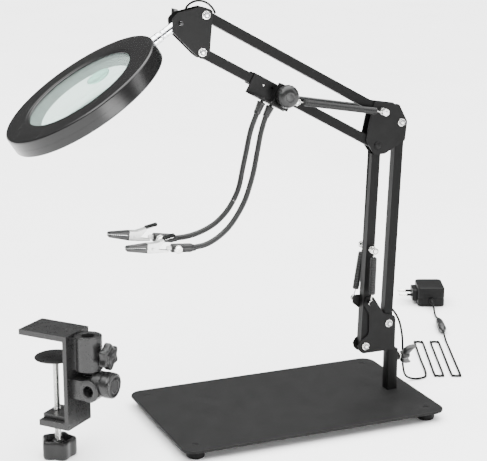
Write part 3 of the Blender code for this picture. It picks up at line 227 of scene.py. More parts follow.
# ---------------------------------------------------------------- mesh helpers
def axes(origin, z_axis, x_axis):
    """A placing matrix with its Z along z_axis and its X as near x_axis as that allows."""
    z = Vector(z_axis).normalized()
    y = z.cross(Vector(x_axis)).normalized()
    placed = Matrix((y.cross(z), y, z)).transposed().to_4x4()
    placed.translation = Vector(origin)
    return placed


def mesh_of(rings, closed=False, material=0):
    """A skin over rings of points with equal counts. A ring of one point is a pole."""
    bm = bmesh.new()
    made = [[bm.verts.new(p) for p in ring] for ring in rings]
    pairs = list(zip(made, made[1:]))
    if closed:
        pairs.append((made[-1], made[0]))
    for one, two in pairs:
        count = max(len(one), len(two))
        for k in range(count):
            corners = []
            for ring, index in ((one, k), (one, k + 1), (two, k + 1), (two, k)):
                corner = ring[index % len(ring)]
                if corner not in corners:
                    corners.append(corner)
            if len(corners) > 2:
                bm.faces.new(corners)
    if not closed:
        for ring in (made[0], made[-1]):
            if len(ring) > 2:
                bm.faces.new(ring)
    bmesh.ops.recalc_face_normals(bm, faces=bm.faces)
    for face in bm.faces:
        face.material_index = material
    return bm


def softened(points, steps=4, closed=True):
    """Points (x, y, radius) with each corner rounded. Points with no radius stay sharp."""
    out = []
    count = len(points)
    for i, point in enumerate(points):
        here = Vector(point[:2])
        radius = point[2] if len(point) > 2 else 0
        if not radius or (not closed and i in (0, count - 1)):
            out.append(here)
            continue
        before = Vector(points[i - 1][:2]) - here
        after = Vector(points[(i + 1) % count][:2]) - here
        reach = min(radius, before.length * 0.48, after.length * 0.48)
        one, two = here + before.normalized() * reach, here + after.normalized() * reach
        for k in range(steps + 1):
            t = k / steps
            out.append(one.lerp(here, t).lerp(here.lerp(two, t), t))
    return out


def circle(placed, reach, z, steps):
    """A ring of points about placed's Z, with one radius or a function of the step's number."""
    points = []
    for k in range(steps):
        angle = 2 * pi * k / steps
        r = reach(k) if callable(reach) else reach
        points.append(placed @ Vector((r * cos(angle), r * sin(angle), z)))
    return points


def box_outline(half_x, half_y, corner):
    return [(sx * half_x, sy * half_y, corner) for sx, sy in ((-1, -1), (1, -1), (1, 1), (-1, 1))]


def pole(placed, z):
    return [placed @ Vector((0, 0, z))]


def lathe(profile, placed, steps=48, smooth_steps=4, ring=False):
    """A body of revolution about placed's Z. The profile holds (radius, height, corner radius)."""
    line = softened(profile, smooth_steps, closed=ring)
    return mesh_of([pole(placed, z) if r < 1e-7 else circle(placed, r, z, steps) for r, z in line],
                   closed=ring)


def stacked(outline, rows, placed, low, high):
    """A flat outline drawn at each (height, scale), between a pole at low and one at high."""
    rings = [[placed @ Vector((p.x * k, p.y * k, z)) for p in outline] for z, k in rows]
    return mesh_of([pole(placed, low), *rings, pole(placed, high)])


def eased(value, power):
    """A sine or cosine pushed towards 1, which squares off a round section."""
    return abs(value) ** power * (1 if value > 0 else -1)


def prism(outline, low, high, placed, material=0):
    return mesh_of([[placed @ Vector((x, y, z)) for x, y in outline] for z in (low, high)], material=material)


def round_prism(outline, low, high, placed, edge=0.0008, steps=3):
    """A prism whose rims are rolled over, by shrinking the outline towards its middle."""
    outline = [Vector(p[:2]) for p in outline]
    middle = sum(outline, Vector((0, 0))) / len(outline)
    rings = []
    levels = [(low + edge * (1 - cos(pi / 2 * k / steps)), edge * (1 - sin(pi / 2 * k / steps)))
              for k in range(steps + 1)]
    levels += [(high - (z - low), inset) for z, inset in reversed(levels)]
    for z, inset in levels:
        ring = []
        for p in outline:
            away = p - middle
            ring.append(placed @ Vector((*(p - away.normalized() * inset), z)))
        rings.append(ring)
    return mesh_of(rings)


def tube(points, radius, sides=12):
    """A tube along points. radius is a number or a function of (index, distance along)."""
    points = [Vector(p) for p in points]
    ways = []
    for i in range(len(points)):
        ways.append((points[min(i + 1, len(points) - 1)] - points[max(i - 1, 0)]).normalized())
    side = ways[0].orthogonal().normalized()
    rings = []
    run = 0.0
    for i, (point, way) in enumerate(zip(points, ways)):
        if i:
            run += (point - points[i - 1]).length
            side = ways[i - 1].rotation_difference(way) @ side
            side = (side - way * side.dot(way)).normalized()
        other = way.cross(side)
        r = radius(i, run) if callable(radius) else radius
        rings.append([point + r * (cos(2 * pi * k / sides) * side + sin(2 * pi * k / sides) * other)
                      for k in range(sides)])
    return mesh_of(rings)


def curve_through(points, steps):
    """A Catmull-Rom curve through the points."""
    points = [Vector(p) for p in points]
    ghost = [2 * points[0] - points[1], *points, 2 * points[-1] - points[-2]]
    out = []
    for i in range(len(points) - 1):
        a, b, c, d = ghost[i:i + 4]
        for k in range(steps):
            t = k / steps
            out.append(0.5 * (2 * b + (c - a) * t + (2 * a - 5 * b + 4 * c - d) * t ** 2
                              + (3 * b - a - 3 * c + d) * t ** 3))
    return [*out, points[-1]]


def evenly(points, pitch):
    """The same line with its points a pitch apart."""
    out, spare = [points[0].copy()], 0.0
    for a, b in zip(points, points[1:]):
        length = (b - a).length
        if length < 1e-9:
            continue
        at = pitch - spare
        while at < length:
            out.append(a.lerp(b, at / length))
            at += pitch
        spare = (spare + length) % pitch
    if (out[-1] - points[-1]).length > pitch * 0.3:
        out.append(points[-1].copy())
    return out


def merged(*parts):
    """Several bmeshes as one."""
    whole = bmesh.new()
    for bm in parts:
        mesh = bpy.data.meshes.new("part")
        bm.to_mesh(mesh)
        bm.free()
        whole.from_mesh(mesh)
        bpy.data.meshes.remove(mesh)
    return whole


def hexagon(across, turn=0.0):
    reach = across / 2 / cos(pi / 6)
    return [Vector((reach * cos(pi / 3 * k + turn), reach * sin(pi / 3 * k + turn))) for k in range(6)]


def lobes(radius, depth, count, steps=96, power=1.0):
    points = []
    for i in range(steps):
        angle = 2 * pi * i / steps
        dip = ((1 - cos(count * angle)) / 2) ** power
        points.append(Vector(((radius - depth * dip) * cos(angle), (radius - depth * dip) * sin(angle))))
    return points


def piece(name, bm, look, body=None, stands_for=(), sharp=35, bevel=0.0):
    """A finished mesh as an object that rides on its body and stands for its CAD nodes."""
    mesh = bpy.data.meshes.new(name)
    bm.to_mesh(mesh)
    bm.free()
    for one in (look if isinstance(look, (list, tuple)) else [look]):
        mesh.materials.append(one)
    mesh.shade_smooth()
    mesh.set_sharp_from_angle(angle=radians(sharp))
    made = bpy.data.objects.new(name, mesh)
    bpy.context.scene.collection.objects.link(made)
    if bevel:
        edge = made.modifiers.new("Edge", "BEVEL")
        edge.width = bevel
        edge.segments = 2
        edge.limit_method = "ANGLE"
        edge.angle_limit = radians(sharp)
        edge.harden_normals = True
    if stands_for:
        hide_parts(*([stands_for] if isinstance(stands_for, str) else stands_for))
    if body:
        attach(made, body)
    return made


def refined(name, look, body, bevel=0.0004, sharp=35):
    """The CAD node's own shape, with its facets merged, its edges eased and its curves smooth."""
    bm = bmesh.new()
    bm.from_mesh(NODES[name].data)
    bmesh.ops.remove_doubles(bm, verts=bm.verts, dist=2e-6)
    bmesh.ops.dissolve_limit(bm, angle_limit=radians(1.0), verts=bm.verts, edges=bm.edges)
    bmesh.ops.recalc_face_normals(bm, faces=bm.faces)
    return piece(name + "_finished", bm, look, body, name, sharp, bevel)


# ---------------------------------------------------------------- base and post
def dress_base():
    refined("base_plate", POWDER, "base", 0.0003, 40)
    refined("base_post", ARM_PAINT, "base", 0.0004, 40)
    for corner in ("front_left", "front_right", "rear_left", "rear_right"):
        low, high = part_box("foot_" + corner)
        centre = Matrix.Translation(((low.x + high.x) / 2, (low.y + high.y) / 2, 0))
        profile = [(0, 0.0010), (0.0030, 0.0010), (0.0034, 0.0), (0.0082, 0, 0.0008),
                   (0.0095, 0.0016, 0.0012),
                   (0.0092, 0.0097, 0.0006), (0.0016, 0.0097), (0.0016, 0.0126), (0, 0.0126)]
        piece("rubber_foot_" + corner, lathe(profile, centre), RUBBER, "base", "foot_" + corner)
        head = [(0, 0.0133), (0.0020, 0.0133), (0.0034, 0.0131, 0.0002), (0.0036, 0.0130)]
        piece("foot_screw_" + corner, lathe([*head, (0, 0.0129)], centre, 32), BRACKET_PAINT, "base")


def wing_knob(name, seat, outward, spread, shank, look, body, node_name, span, stand):
    """A thumb screw with two cupped wings, a hub, a washer and its thread."""
    placed = axes(seat, outward, spread)
    hub = [(0, -shank), (0.0019, -shank, 0.0003), (0.0019, stand), (0.0046, stand, 0.0004),
           (0.0052, stand + 0.0040, 0.0020), (0.0046, stand + 0.0095, 0.0018), (0, stand + 0.0098)]
    parts = [lathe(hub, placed, 36)]
    for flip in (1, -1):
        rings = []
        for k in range(13):
            t = k / 12
            reach = 0.0010 + (span - 0.0010) * sin(t * pi / 2)
            middle = stand + 0.0045 + 0.0070 * t ** 1.4
            tall = 0.0036 + 0.0022 * sin(pi * t * 0.9)
            thick = 0.0034 - 0.0008 * t
            if k == 12:
                tall *= 0.55
                thick *= 0.55
            rings.append([])
            for n in range(16):
                a = 2 * pi * n / 16
                corner = (flip * reach, thick * eased(cos(a), 0.7), middle + tall * eased(sin(a), 0.7))
                rings[-1].append(placed @ Vector(corner))
        parts.append(mesh_of(rings))
    piece(name, merged(*parts), look, body, node_name, 50)
    washer = [(0.0021, 0.0002), (0.0042, 0.0002, 0.0002), (0.0042, 0.0010, 0.0002), (0.0021, 0.0010)]
    piece(name + "_washer", lathe(washer, placed, 36, ring=True), ZINC, body)
    first, pitch = 0.0012, 0.0004
    crests = [(0.00225 if k % 2 else 0.00195, first + pitch * k) for k in range(int((stand - first) / pitch))]
    if crests:
        piece(name + "_thread", lathe([(0, first - 0.0001), *crests, (0, stand)], placed, 24), ZINC, body)


def dress_post_screw():
    seat = joint_at("post_screw_turn")
    post_side = SHIFT.x + SWIVEL_AT.x + 0.0046
    shank = seat.x - post_side
    wing_knob("post_wing_knob", seat, (1, 0, 0), (0, -0.55, 1), shank, KNOB_PLASTIC, "post_screw",
              "post_wing_screw", 0.0125, 0.0035)


# ---------------------------------------------------------------- bolts and springs
def pivot_bolt(name, point, body, node_name):
    """Locking nut with the bolt's end towards the viewer, round socket head behind."""
    front = axes(point + TOWARDS_VIEWER * (OUTER + GAP), TOWARDS_VIEWER, (1, 0, 0))
    back = axes(point - TOWARDS_VIEWER * (OUTER + GAP), -TOWARDS_VIEWER, (1, 0, 0))
    far = -2 * OUTER - 2 * GAP - 0.0001
    washer = lathe([(0.0019, 0), (0.0042, 0, 0.0001), (0.0042, 0.0006, 0.0002), (0.0019, 0.0006)], front, 40,
                   ring=True)
    nut = prism(hexagon(0.0066, 0.35), 0.0006, 0.0022, front)
    collar = lathe([(0.0033, 0.0018), (0.0031, 0.0026, 0.0003), (0.0024, 0.0028, 0.0002), (0.0020, 0.0025)],
                   front, 40)
    shank = lathe([(0, far), (0.0018, far), (0.0018, 0.0026), (0.0018, 0.0031, 0.0003), (0, 0.0032)], front,
                  28)
    head = lathe([(0, 0.0014), (0.0013, 0.0014), (0.0013, 0.0026), (0.0016, 0.0029, 0.0002),
                  (0.0033, 0.0027, 0.0007), (0.0038, 0.0016, 0.0004), (0.0038, 0), (0, 0)], back, 40)
    piece(name, merged(washer, nut, shank, head), ZINC, body, node_name, 30, 0.00015)
    piece(name + "_insert", collar, NYLON, body)


def rivet(name, point, body, node_name):
    """A painted pivot with a low domed head on each side."""
    half = OUTER + GAP
    placed = axes(point, TOWARDS_VIEWER, (1, 0, 0))
    dome = [(0.0018, half), (0.0040, half, 0.0002), (0.0040, half + 0.0004, 0.0004),
            (0.0027, half + 0.0014, 0.0012), (0, half + 0.0018)]
    profile = [(r, -h, *rest) for r, h, *rest in reversed(dome)] + dome
    piece(name, lathe(profile, placed, 40), BRACKET_PAINT, body, node_name, 40)


def coil_spring(name, start, end, y, bare_start, bare_end, node_name):
    """A close-wound spring with a bright hook at each end."""
    start, end = start + Vector((0, y, 0)), end + Vector((0, y, 0))
    way = (end - start).normalized()
    wound = (end - start).length - bare_start - bare_end
    placed = axes(start + way * bare_start, way, (0, 1, 0))
    pitch, wire, mean = 0.00098, 0.00046, 0.0032
    turns = wound / pitch
    per_turn = 16
    points = []
    for k in range(int(turns * per_turn) + 1):
        angle = 2 * pi * k / per_turn
        reach = mean * min(1.0, 0.55 + 0.45 * min(k, turns * per_turn - k) / (1.2 * per_turn))
        points.append(placed @ Vector((reach * cos(angle), reach * sin(angle), pitch * k / per_turn)))
    coil = piece(name + "_coil", tube(points, wire, 7), SPRING_STEEL, None, node_name, 80)
    bar = [(0, 0.0008), (mean - 0.0003, 0.0012), (mean - 0.0003, wound - 0.0012), (0, wound - 0.0008)]
    core = piece(name + "_core", lathe(bar, placed, 20), SPRING_STEEL)
    hooks = []
    for centre, inward, bare in ((start, way, bare_start), (end, -way, bare_end)):
        across = inward.cross(Vector((0, 1, 0)))
        line = []
        for k in range(15):
            a = -0.72 * pi + 1.62 * pi * k / 14 + pi / 2
            line.append(centre + 0.0027 * (sin(a) * across - cos(a) * inward))
        tail = centre + inward * (bare + 0.0014)
        line += [centre + inward * 0.0042 + across * 0.0006, centre + inward * (bare * 0.8), tail]
        hooks.append(tube(curve_through(line, 3), 0.00060, 9))
    hook = piece(name + "_hooks", merged(*hooks), ZINC, None, (), 80)
    for made in (coil, core, hook):
        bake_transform(made)


def two_springs(arm, start, ends, bare_start, bare_end):
    for side, y in (("front", -SPRING_Y), ("rear", SPRING_Y)):
        coil_spring(f"{arm}_{side}_spring", start, ends[side], y, bare_start, bare_end,
                    f"{arm}_spring_{side}")


def stud_nuts(name, point, body):
    """Bright sleeve, inner nut and end nut on each side of the tube, round a pair of spring hooks."""
    reach, eye, tube_face = 0.0174, SPRING_Y + 0.0009, 0.0053
    parts = []
    for side in (1, -1):
        outward = TOWARDS_VIEWER * side
        placed = axes(point, outward, (1, 0, 0))
        parts.append(prism(hexagon(0.0068, 0.2), tube_face, tube_face + 0.0030, placed))
        parts.append(prism(hexagon(0.0072, 0.5), eye, reach - 0.0006, placed))
        parts.append(lathe([(0.0021, tube_face), (0.0022, eye + 0.0002), (0.0026, reach - 0.0008),
                            (0.0024, reach, 0.0003), (0, reach + 0.0001)], placed, 28))
    return piece(name, merged(*parts), ZINC, body, (), 30, 0.00015)


def dress_lower_arm():
    refined("lower_bracket", BRACKET_PAINT, "swivel_bracket", 0.0003)
    refined("lower_rear_tube", ARM_PAINT, "rear_tube", 0.0005)
    refined("lower_front_tube", ARM_PAINT, "front_tube", 0.0005)
    pivot_bolt("rear_pivot_bolt", REAR, "swivel_bracket", "lower_bolt_rear")
    pivot_bolt("front_pivot_bolt", FRONT, "swivel_bracket", "lower_bolt_front")
    carrier = FRONT + (ELBOW_SHARED - FRONT).normalized() * LOWER_STUD_AT
    stud_nuts("lower_stud_nuts", carrier, "front_tube")
    ears = {"rear": FRONT + Vector((-0.0050, 0, 0.0505)), "front": FRONT + Vector((0.0030, 0, 0.0505))}
    two_springs("lower", carrier, ears, 0.0075, 0.010)


def dress_elbow():
    refined("elbow_bracket", BRACKET_PAINT, "elbow", 0.0003)
    pivot_bolt("elbow_rear_bolt", ELBOW_REAR, "elbow", "elbow_bolt_rear")
    rivet("elbow_shared_rivet", ELBOW_SHARED, "elbow", "elbow_bolt_shared")
    nuts = stud_nuts("elbow_stud", ELBOW_TOP, "elbow")
    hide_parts("elbow_spring_bolt")
    for side, outward in (("front", TOWARDS_VIEWER), ("rear", -TOWARDS_VIEWER)):
        placed = axes(ELBOW_TOP + outward * (OUTER + GAP), outward, (1, 0, 0))
        piece(f"elbow_stud_nut_{side}", prism(hexagon(0.0068, 0.1), 0, 0.0028, placed), ZINC, "elbow", (), 30,
              0.00025)
    axle = axes(ELBOW_TOP + Vector((0, -SPRING_Y, 0)), (0, 1, 0), (1, 0, 0))
    bar = [(0, 0), (0.0018, 0), (0.0018, 2 * SPRING_Y), (0, 2 * SPRING_Y)]
    piece("elbow_stud_axle", lathe(bar, axle, 24), ZINC, "elbow")


def dress_upper_arm():
    refined("upper_top_tube", ARM_PAINT, "top_tube", 0.0005)
    refined("upper_bottom_tube", ARM_PAINT, "bottom_tube", 0.0005)
    carrier = HEAD_BOTTOM + ALONG * UPPER_STUD_AT
    stud_nuts("upper_stud_nuts", carrier, "bottom_tube")
    two_springs("upper", carrier, {"front": ELBOW_TOP, "rear": ELBOW_TOP}, 0.009, 0.0095)


# ---------------------------------------------------------------- head and stem
def dress_head():
    refined("head_bracket", BRACKET_PAINT, "head", 0.0003)
    pivot_bolt("head_top_bolt", HEAD_TOP, "head", "head_bolt_top")
    pivot_bolt("head_bottom_bolt", HEAD_BOTTOM, "head", "head_bolt_bottom")
    bends = ((-0.0205, 0.0015), (-0.0175, 0.0085), (-0.0110, 0.0128), (-0.0030, 0.0135), (0.0045, 0.0105),
             (0.0100, 0.0050), (0.0122, 0.0006))
    route = [HEAD_TOP + Vector((x, 0, z)) for x, z in bends]
    lead = piece("head_lead", tube(curve_through(route, 8), 0.0011, 12), RUBBER, None, "head_cable", 80)
    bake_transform(lead)
    wing_knob("tilt_wing_knob", joint_at("tilt_screw_turn"), (0, 1, 0), (0.25, 0, 1), 0.0163, KNOB_PLASTIC,
              "tilt_screw", "tilt_wing_screw", 0.0125, 0.0020)


def dress_knuckle():
    down = axes(TILT, -STEM, (0, 1, 0))
    eye = axes(TILT - Vector((0, INNER - GAP, 0)), (0, 1, 0), (1, 0, 0))
    wide = 2 * (INNER - GAP)
    parts = [lathe([(0, 0), (0.0058, 0, 0.0004), (0.0062, 0.0004, 0.0003), (0.0062, wide - 0.0004, 0.0003),
                    (0.0058, wide, 0.0003), (0, wide)], eye, 48),
             lathe([(0, 0.003), (0.0046, 0.003), (0.0049, 0.0060, 0.0006), (0.0049, 0.0168, 0.0002),
                    (0.0046, 0.0171), (0.0046, 0.0176), (0.0049, 0.0179, 0.0002), (0.0049, 0.0206, 0.0004),
                    (0.0043, 0.0210, 0.0004), (0.0038, 0.0210), (0.0038, 0.0196), (0, 0.0196)], down, 48)]
    piece("chrome_knuckle", merged(*parts), CHROME, "knuckle", "head_knuckle", 35)
    near = NECK_LENGTH - GAP
    stem = [(0, 0.0095), (0.0034, 0.0095), (0.0034, 0.0222), (0.0048, 0.0222, 0.0003),
            (0.0055, 0.0230, 0.0005),
            (0.0055, 0.0268, 0.0002), (0.0052, 0.0271), (0.0052, 0.0276), (0.0055, 0.0279, 0.0002),
            (0.0055, near - 0.0004, 0.0004), (0.0050, near), (0, near)]
    piece("chrome_stem", lathe(stem, down, 48), CHROME, "lamp", "ring_stem", 35)


# ---------------------------------------------------------------- ring lamp
RING_AXES = axes(RING, (-STEM.z, 0, STEM.x), STEM)


def dress_ring():
    top = [(0.0575, 0.0068), (0.0575, 0.0080, 0.0004), (0.0590, 0.0086, 0.0005), (0.0606, 0.0086, 0.0003),
           (0.0614, 0.0090, 0.0004), (0.0838, 0.0090, 0.0011), (0.0850, 0.0077, 0.0011), (0.0850, -0.0006),
           (0.0832, -0.0006), (0.0832, 0.0070), (0.0652, 0.0070), (0.0652, 0.0006), (0.0630, 0.0006),
           (0.0630, 0.0068)]
    piece("lamp_ring_upper", lathe(top, RING_AXES, 160, 5, ring=True), RING_PLASTIC, "lamp",
          "ring_top_housing", 42)
    low = [(0.0577, -0.0008), (0.0850, -0.0007), (0.0850, -0.0080, 0.0011), (0.0840, -0.0090, 0.0008),
           (0.0829, -0.0090, 0.0003), (0.0829, -0.0030), (0.0597, -0.0030), (0.0597, -0.0090, 0.0003),
           (0.0578, -0.0090, 0.0004)]
    piece("lamp_ring_lower", lathe(low, RING_AXES, 160, 5, ring=True), RING_PLASTIC, "lamp",
          "ring_bottom_housing", 42)
    cover = [(0.0599, -0.0073), (0.0825, -0.0073), (0.0825, -0.0085)]
    ribs, outer, inner = 28, 0.0822, 0.0602
    for k in range(ribs + 1):
        cover.append((outer - (outer - inner) * k / ribs, -0.0087 if k % 2 else -0.0084))
    cover.append((0.0599, -0.0085))
    piece("light_cover", lathe(cover, RING_AXES, 128, ring=True), FROSTED, "lamp", "light_diffuser", 20)
    NODES["led_board"].data.materials.clear()
    NODES["led_board"].data.materials.append(BOARD)
    lamps, diodes = [], 48
    corners = softened(box_outline(0.0014, 0.0009, 0.0003), 2)
    for k in range(diodes):
        turn = RING_AXES @ Matrix.Rotation(2 * pi * k / diodes, 4, "Z")
        spot = turn @ Matrix.Translation((0.0712 + 0.0045 * (-1) ** k, 0, -0.0049))
        lamps.append(round_prism(corners, -0.0007, 0, spot, 0.0002, 2))
    piece("light_diodes", merged(*lamps), LED, "lamp", ())
    dress_lens()
    dress_button()


def dress_lens():
    rim, edge, thick = 0.0625, 0.003, 0.0082
    bulge = (thick - edge) / 2
    lip = bulge * (1 - (RING_WINDOW / rim) ** 2)
    middle = RING_HALF - RING_WALL - GAP - lip - edge / 2
    steps = 36
    upper = [(rim * k / steps, middle + edge / 2 + bulge * (1 - (k / steps) ** 2)) for k in range(steps + 1)]
    lower = [(r, 2 * middle - z) for r, z in reversed(upper)]
    piece("lens_main", lathe(upper + lower, RING_AXES, 144), GLASS, "lamp", "magnifier_lens", 50)
    spot = Vector((0.0236, 0.0104))
    away = spot.length / rim
    under = middle - edge / 2 - bulge * (1 - away ** 2)
    dome = [(0, under - 0.0009), (0.0119, under - 0.0006, 0.0003), (0.0125, under - 0.0012, 0.0004)]
    arc = [pi / 2 * k / 14 for k in range(1, 14)]
    dome += [(0.0123 * cos(a), under - 0.0018 - 0.0030 * sin(a)) for a in arc]
    dome.append((0, under - 0.0048))
    inset = RING_AXES @ Matrix.Translation((*spot, 0))
    piece("lens_inset", lathe(dome, inset, 96), INSET_GLASS, "lamp", (), 50)


def dress_button():
    turn = RING_AXES @ Matrix.Rotation(radians(40), 4, "Z") @ Matrix.Translation((0, 0, 0.0040))
    placed = axes(turn @ Vector((RING_RADIUS, 0, 0)), turn.to_3x3() @ Vector((1, 0, 0)), (0, 0, 1))
    cap = [(0, -0.0034), (0.0026, -0.0034), (0.0026, 0.0008, 0.0004), (0.0022, 0.0012, 0.0004),
           (0.0010, 0.0010, 0.0004), (0, 0.0010)]
    piece("lamp_button", lathe(cap, placed, 40), BUTTON, "button", "power_button")
    bezel = [(0.0029, -0.0002), (0.0040, -0.0002), (0.0040, 0.0003, 0.0002), (0.0030, 0.0006, 0.0002)]
    piece("button_bezel", lathe(bezel, placed, 40, ring=True), RING_PLASTIC, "lamp", ())


# ---------------------------------------------------------------- clip holder and flexible arms
def on_bottom_tube(along, across, y=0.0):
    return HEAD_BOTTOM + ALONG * along + ACROSS * across + Vector((0, y, 0))


HOLDER_AT = 0.0610
BENDS = {
    "rear": [(-0.0063, -0.0002, -0.0134), (-0.0129, -0.0002, -0.0306), (-0.0178, -0.0002, -0.0520),
             (-0.0214, -0.0002, -0.0678), (-0.0257, -0.0002, -0.0871), (-0.0319, -0.0002, -0.1006),
             (-0.0405, -0.0002, -0.1126), (-0.0528, -0.0002, -0.1230), (-0.0674, -0.0002, -0.1297),
             (-0.0819, -0.0002, -0.1330), (-0.0963, -0.0002, -0.1336)],
    "front": [(-0.0068, -0.0019, -0.0113), (-0.0124, -0.0035, -0.0266), (-0.0173, -0.0052, -0.0465),
              (-0.0217, -0.0069, -0.0643), (-0.0272, -0.0085, -0.0808), (-0.0335, -0.0102, -0.0949),
              (-0.0427, -0.0119, -0.1088), (-0.0531, -0.0135, -0.1202), (-0.0660, -0.0152, -0.1289),
              (-0.0786, -0.0169, -0.1336), (-0.0929, -0.0182, -0.1349)],
}
NECK_ALONG = {"rear": HOLDER_AT + 0.0163, "front": HOLDER_AT + 0.0273}
CLIP_RISE = {"rear": 9.0, "front": 5.0}
SPLIT = 5


def dress_holder():
    refined("clip_holder", BRACKET_PAINT, "holder", 0.0003)
    seat = joint_at("holder_knob_turn")
    placed = axes(seat, TOWARDS_VIEWER, (1, 0, 0))
    shape = [(0.0020, -0.0090), (0.0020, 0.0016), (0.0088, 0.0016, 0.0004), (0.0112, 0.0026, 0.0012),
             (0.0122, 0.0056, 0.0020), (0.0116, 0.0098, 0.0022), (0.0088, 0.0127, 0.0020),
             (0.0050, 0.0138, 0.0010), (0.0042, 0.0134, 0.0003), (0.0020, 0.0136, 0.0010)]
    steps, flutes, flute = 120, 20, 0.00028
    grip = [pole(placed, -0.0090)]
    for r, z in softened(shape, 4, closed=False):
        cut = flute if 0.0105 < r and 0.003 < z < 0.0105 else 0.0
        grip.append(circle(placed, lambda k: r - cut * max(0.0, cos(flutes * 2 * pi * k / steps)), z, steps))
    grip.append(pole(placed, 0.0137))
    piece("holder_grip", mesh_of(grip), KNOB_PLASTIC, "knob", "holder_knob", 40)
    pin = axes(on_bottom_tube(HOLDER_AT + 0.0145, -0.0005, -OUTER - 0.0001), TOWARDS_VIEWER, (1, 0, 0))
    piece("holder_pin", lathe([(0, -0.0010), (0.0011, -0.0010), (0.0011, 0.0002, 0.0003), (0, 0.0006)], pin,
                              28),
          ZINC, "holder", ())


def hose_radius(i, _run):
    return HOSE_RADIUS - 0.00016 + 0.00016 * (1 if i % 3 == 1 else -1 if i % 3 == 0 else 0.4)


def dress_arm(side):
    neck = on_bottom_tube(NECK_ALONG[side], -0.0150, -0.0158)
    route = [neck + Vector(bend) for bend in BENDS[side]]
    way = (route[0] - neck).normalized()
    length = (route[0] - neck).length
    ferrule = [(0, -0.0034), (0.0018, -0.0034), (0.0018, 0.0015), (0.0042, 0.0016, 0.0004),
               (0.0044, 0.0030, 0.0005)]
    for k in range(5):
        z = 0.0038 + 0.0017 * k
        r = 0.0043 - 0.00014 * k
        ferrule += [(r, z, 0.0002), (r - 0.0004, z + 0.0004, 0.0001), (r - 0.0004, z + 0.0008, 0.0001),
                    (r, z + 0.0012, 0.0002)]
    ferrule += [(0.0034, length - 0.0004, 0.0003), (0.0030, length), (0, length)]
    piece(f"hose_ferrule_{side}", lathe(ferrule, axes(neck, way, (0, 1, 0)), 36), KNOB_PLASTIC, "holder",
          f"ferrule_{side}")
    per_bend, rib = 12, 0.00042
    whole = curve_through(route, per_bend)
    split = per_bend * SPLIT
    halves = (("upper", whole[:split + 1], "holder", f"{side}_arm", 0),
              ("lower", whole[split:], f"{side}_arm", f"{side}_arm_end", SPLIT))
    for half, line, near, far, first in halves:
        hose = piece(f"hose_{side}_{half}", tube(evenly(line, rib), hose_radius, 16), HOSE, None,
                     f"gooseneck_{side}_{half}", 80)
        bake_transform(hose)
    dress_clip(side, route[-1])


# ---------------------------------------------------------------- clips
def dress_clip(side, end):
    rise = radians(CLIP_RISE[side])
    way = Vector((-cos(rise), 0, sin(rise)))
    up = Vector((sin(rise), 0, cos(rise)))
    start = end + way * 0.00086
    body = f"{side}_arm_end"
    along = axes(start, way, up)
    profile = [(0, -0.0040), (0.0031, -0.0040, 0.0003), (0.0036, -0.0006, 0.0008), (0.0043, 0.0006, 0.0006),
               (SOCKET_RADIUS, 0.0020, 0.0008), (SOCKET_RADIUS, 0.0090, 0.0002), (0.0043, 0.0093),
               (0.0043, 0.0098), (SOCKET_RADIUS, 0.0101, 0.0002), (SOCKET_RADIUS, 0.0212, 0.0006),
               (0.0040, SOCKET_LENGTH, 0.0004), (0.0027, SOCKET_LENGTH), (0.0027, 0.0150), (0, 0.0150)]
    piece(f"clip_sleeve_{side}", lathe(profile, along, 48), KNOB_PLASTIC, body, f"clip_socket_{side}", 40)
    face = joint_at(f"{side}_socket_screw_turn")
    screw = axes(face, TOWARDS_VIEWER, (1, 0, 0.4))
    shape = [(0.0013, -0.0020), (0.0013, 0.0003), (0.0038, 0.0003, 0.0003), (0.0043, 0.0009, 0.0004),
             (0.0043, 0.0030, 0.0005), (0.0037, 0.0037, 0.0006), (0.0012, 0.0039, 0.0003)]
    knurls, knurl = 48, 0.00014
    rings = [pole(screw, -0.0020)]
    for r, z in softened(shape, 4, closed=False):
        cut = knurl if 0.0041 < r else 0
        rings.append(circle(screw, lambda k: r - cut * (k % 2), z, 2 * knurls))
    rings.append(pole(screw, 0.0039))
    piece(f"socket_thumb_{side}", mesh_of(rings), ZINC, f"{side}_socket_screw", f"socket_screw_{side}", 40)
    dress_jaws(side, axes(joint_at(f"{side}_jaw_open"), up, way))


def channel(outline, width, wall, placed, material=0):
    """The two side cheeks of a pressed sheet channel."""
    turned = placed @ Matrix.Rotation(pi / 2, 4, "X")
    return [prism(outline, width / 2 - wall, width / 2, turned, material),
            prism(outline, -width / 2, wall - width / 2, turned, material)]


def strip(line, width, thick, placed, material=0):
    """A bent strip of sheet following a side-view line, from edge to edge of the channel."""
    rings = []
    count = len(line)
    for i, p in enumerate(line):
        p = Vector(p)
        before = (p - Vector(line[max(i - 1, 0)])) if i else Vector((0, 0))
        after = (Vector(line[min(i + 1, count - 1)]) - p) if i < count - 1 else Vector((0, 0))
        way = (before.normalized() if before.length else Vector((0, 0))) + (
            after.normalized() if after.length else Vector((0, 0)))
        way = way.normalized()
        out = Vector((-way.y, way.x)) * thick / 2
        one, two = p + out, p - out
        rings.append([placed @ Vector((one.x, -width / 2, one.y)), placed @ Vector((one.x, width / 2, one.y)),
                      placed @ Vector((two.x, width / 2, two.y)),
                      placed @ Vector((two.x, -width / 2, two.y))])
    return mesh_of(rings, material=material)


def toothed(start, end, depth, count, y):
    """The saw edge of a jaw between two side-view points."""
    out = []
    for k in range(count):
        a, b = k / count, (k + 0.5) / count
        out.append((start[0] + (end[0] - start[0]) * a, start[1] + (end[1] - start[1]) * a))
        out.append((start[0] + (end[0] - start[0]) * b, start[1] + (end[1] - start[1]) * b + y * depth))
    return [*out, end]


